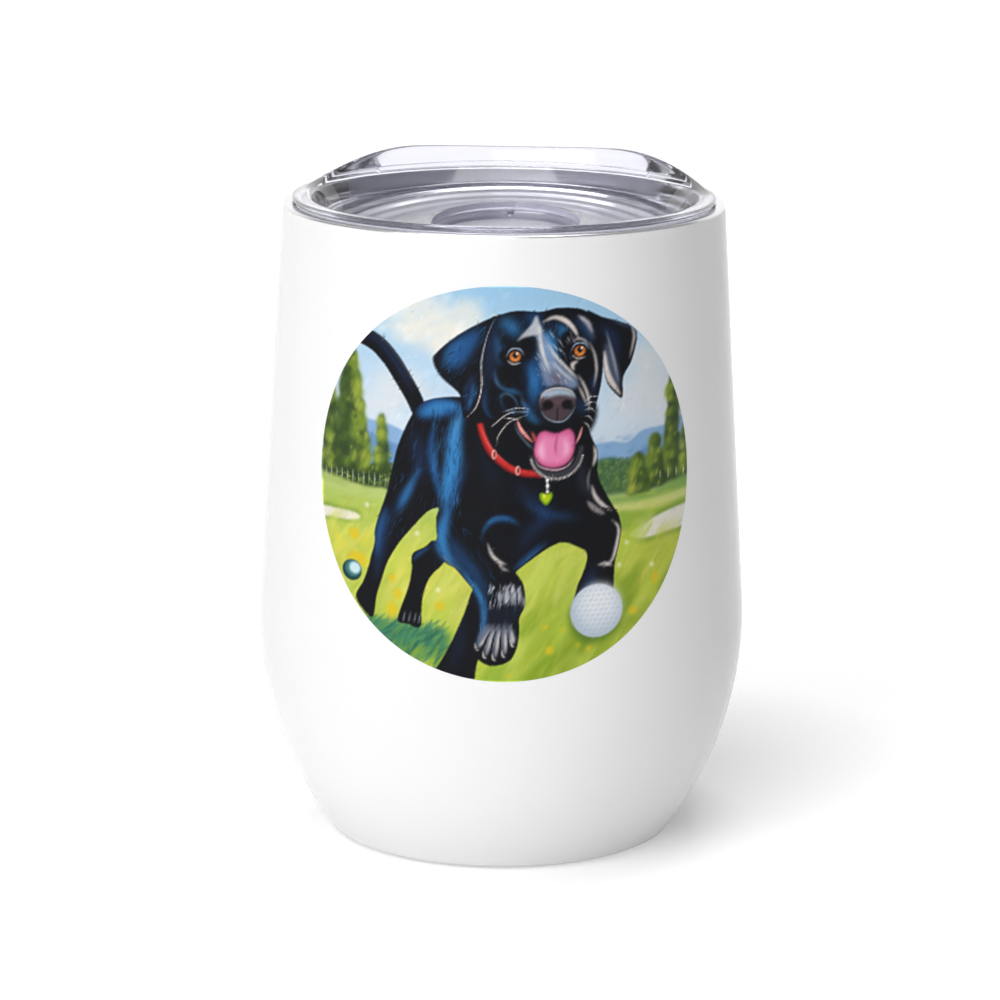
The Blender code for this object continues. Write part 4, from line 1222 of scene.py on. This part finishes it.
def shell_radius(z):
    """Outside radius of the body at height z: a belly arc, and a straight taper above it."""
    start = BULGE_HEIGHT + BELLY_ARC * sin(TAPER)
    arc = ARC_CENTRE_RADIUS + np.sqrt(BELLY_ARC ** 2 - (np.minimum(z, start) - BULGE_HEIGHT) ** 2)
    return arc - np.maximum(z - start, 0) * tan(TAPER)


def print_colours(picture, x, z):
    """The picture's colours, linear, as seen square on from the front."""
    reach = shell_radius(PRINT_MIDDLE)
    half = reach * sin(PRINT_HALF_WIDTH / reach)
    across = (x - reach * sin(PRINT_TURN)) / half
    up = (z - PRINT_MIDDLE) / PRINT_HALF_HEIGHT
    size = len(picture) - 1
    column = np.clip((across + 1) / 2 * size, 0, size - 0.001)
    row = np.clip((up + 1) / 2 * size, 0, size - 0.001)
    i, j = row.astype(int), column.astype(int)
    di, dj = (row - i)[:, None], (column - j)[:, None]
    low = picture[i, j] * (1 - dj) + picture[i, j + 1] * dj
    high = picture[i + 1, j] * (1 - dj) + picture[i + 1, j + 1] * dj
    shade = low * (1 - di) + high * di
    return np.where(shade < 0.04045, shade / 12.92, ((shade + 0.055) / 1.055) ** 2.4)


def make_print(picture):
    """A fine round sheet on the shell, each of whose points takes its colour from the picture."""
    count = PRINT_CELLS + 1
    line = np.linspace(-1, 1, count)
    a, b = (grid.ravel() for grid in np.meshgrid(line, line))
    middle = (line[1:] + line[:-1]) / 2
    kept = np.hypot(*np.meshgrid(middle, middle)) < 1 - 0.5 / PRINT_CELLS
    row, column = np.nonzero(kept)
    first = row * count + column
    quads = np.stack([first, first + 1, first + count + 1, first + count], 1)
    # Points on the rim of the kept cells move out to the circle.
    uses = np.bincount(quads.ravel(), minlength=count * count)
    rim = (uses > 0) & (uses < 4)
    stretch = np.where(rim, 1 / np.maximum(np.hypot(a, b), 1e-9), 1.0)
    a, b = a * stretch, b * stretch
    used = np.nonzero(uses)[0]
    place = np.full(count * count, -1)
    place[used] = np.arange(len(used))
    a, b, quads = a[used], b[used], place[quads]
    z = PRINT_MIDDLE + PRINT_HALF_HEIGHT * b
    radius = shell_radius(z)
    turn = PRINT_TURN + PRINT_HALF_WIDTH * a / radius
    reach = radius + PRINT_LIFT
    points = np.stack([reach * np.sin(turn), -reach * np.cos(turn), z], 1)
    mesh = bpy.data.meshes.new("front_print")
    mesh.from_pydata(points * MM, [], quads)
    colour = mesh.color_attributes.new("picture", "FLOAT_COLOR", "POINT")
    shades = np.ones((len(points), 4), np.float32)
    shades[:, :3] = print_colours(picture, points[:, 0], points[:, 2])
    colour.data.foreach_set("color", shades.ravel())
    mesh.shade_smooth()
    n = Nodes("printed_ink")
    ink = n.add("Attribute", attribute_name="picture").outputs["Color"]
    weave = n.noise(n.place(), 900.0, 2.0)
    n.set(Base_Color=ink, Roughness=0.25, Specular_IOR_Level=0.12, Normal=n.bump(weave, 0.000004, 0.5))
    sheet = new_piece("front_print", mesh, n.material)
    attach(sheet, "cup")


def give(node, material):
    for index in range(len(NODES[node].data.materials)):
        NODES[node].material_slots[index].material = material


steel = make_steel("brushed_steel", (0.84, 0.84, 0.88))
make_shell(make_coat())
for node in ("inner_liner", "base_disc", "getter_cup"):
    give(node, steel)
give("port_seal", make_plain("solder_glass", (0.30, 0.31, 0.33), 0.25, 0.0, 900.0))
give("getter_pellet", make_plain("getter_metal", (0.33, 0.32, 0.31), 0.6, 1.0, 2500.0))
make_lid(make_clear("clear_plastic", (0.90, 0.90, 0.98), 0.06, 1.53))
give("lid_gasket", make_clear("clear_silicone", (0.92, 0.93, 0.95), 0.3, 1.41))

make_print(paint_picture())

make_camera()
make_floor()
make_lights()
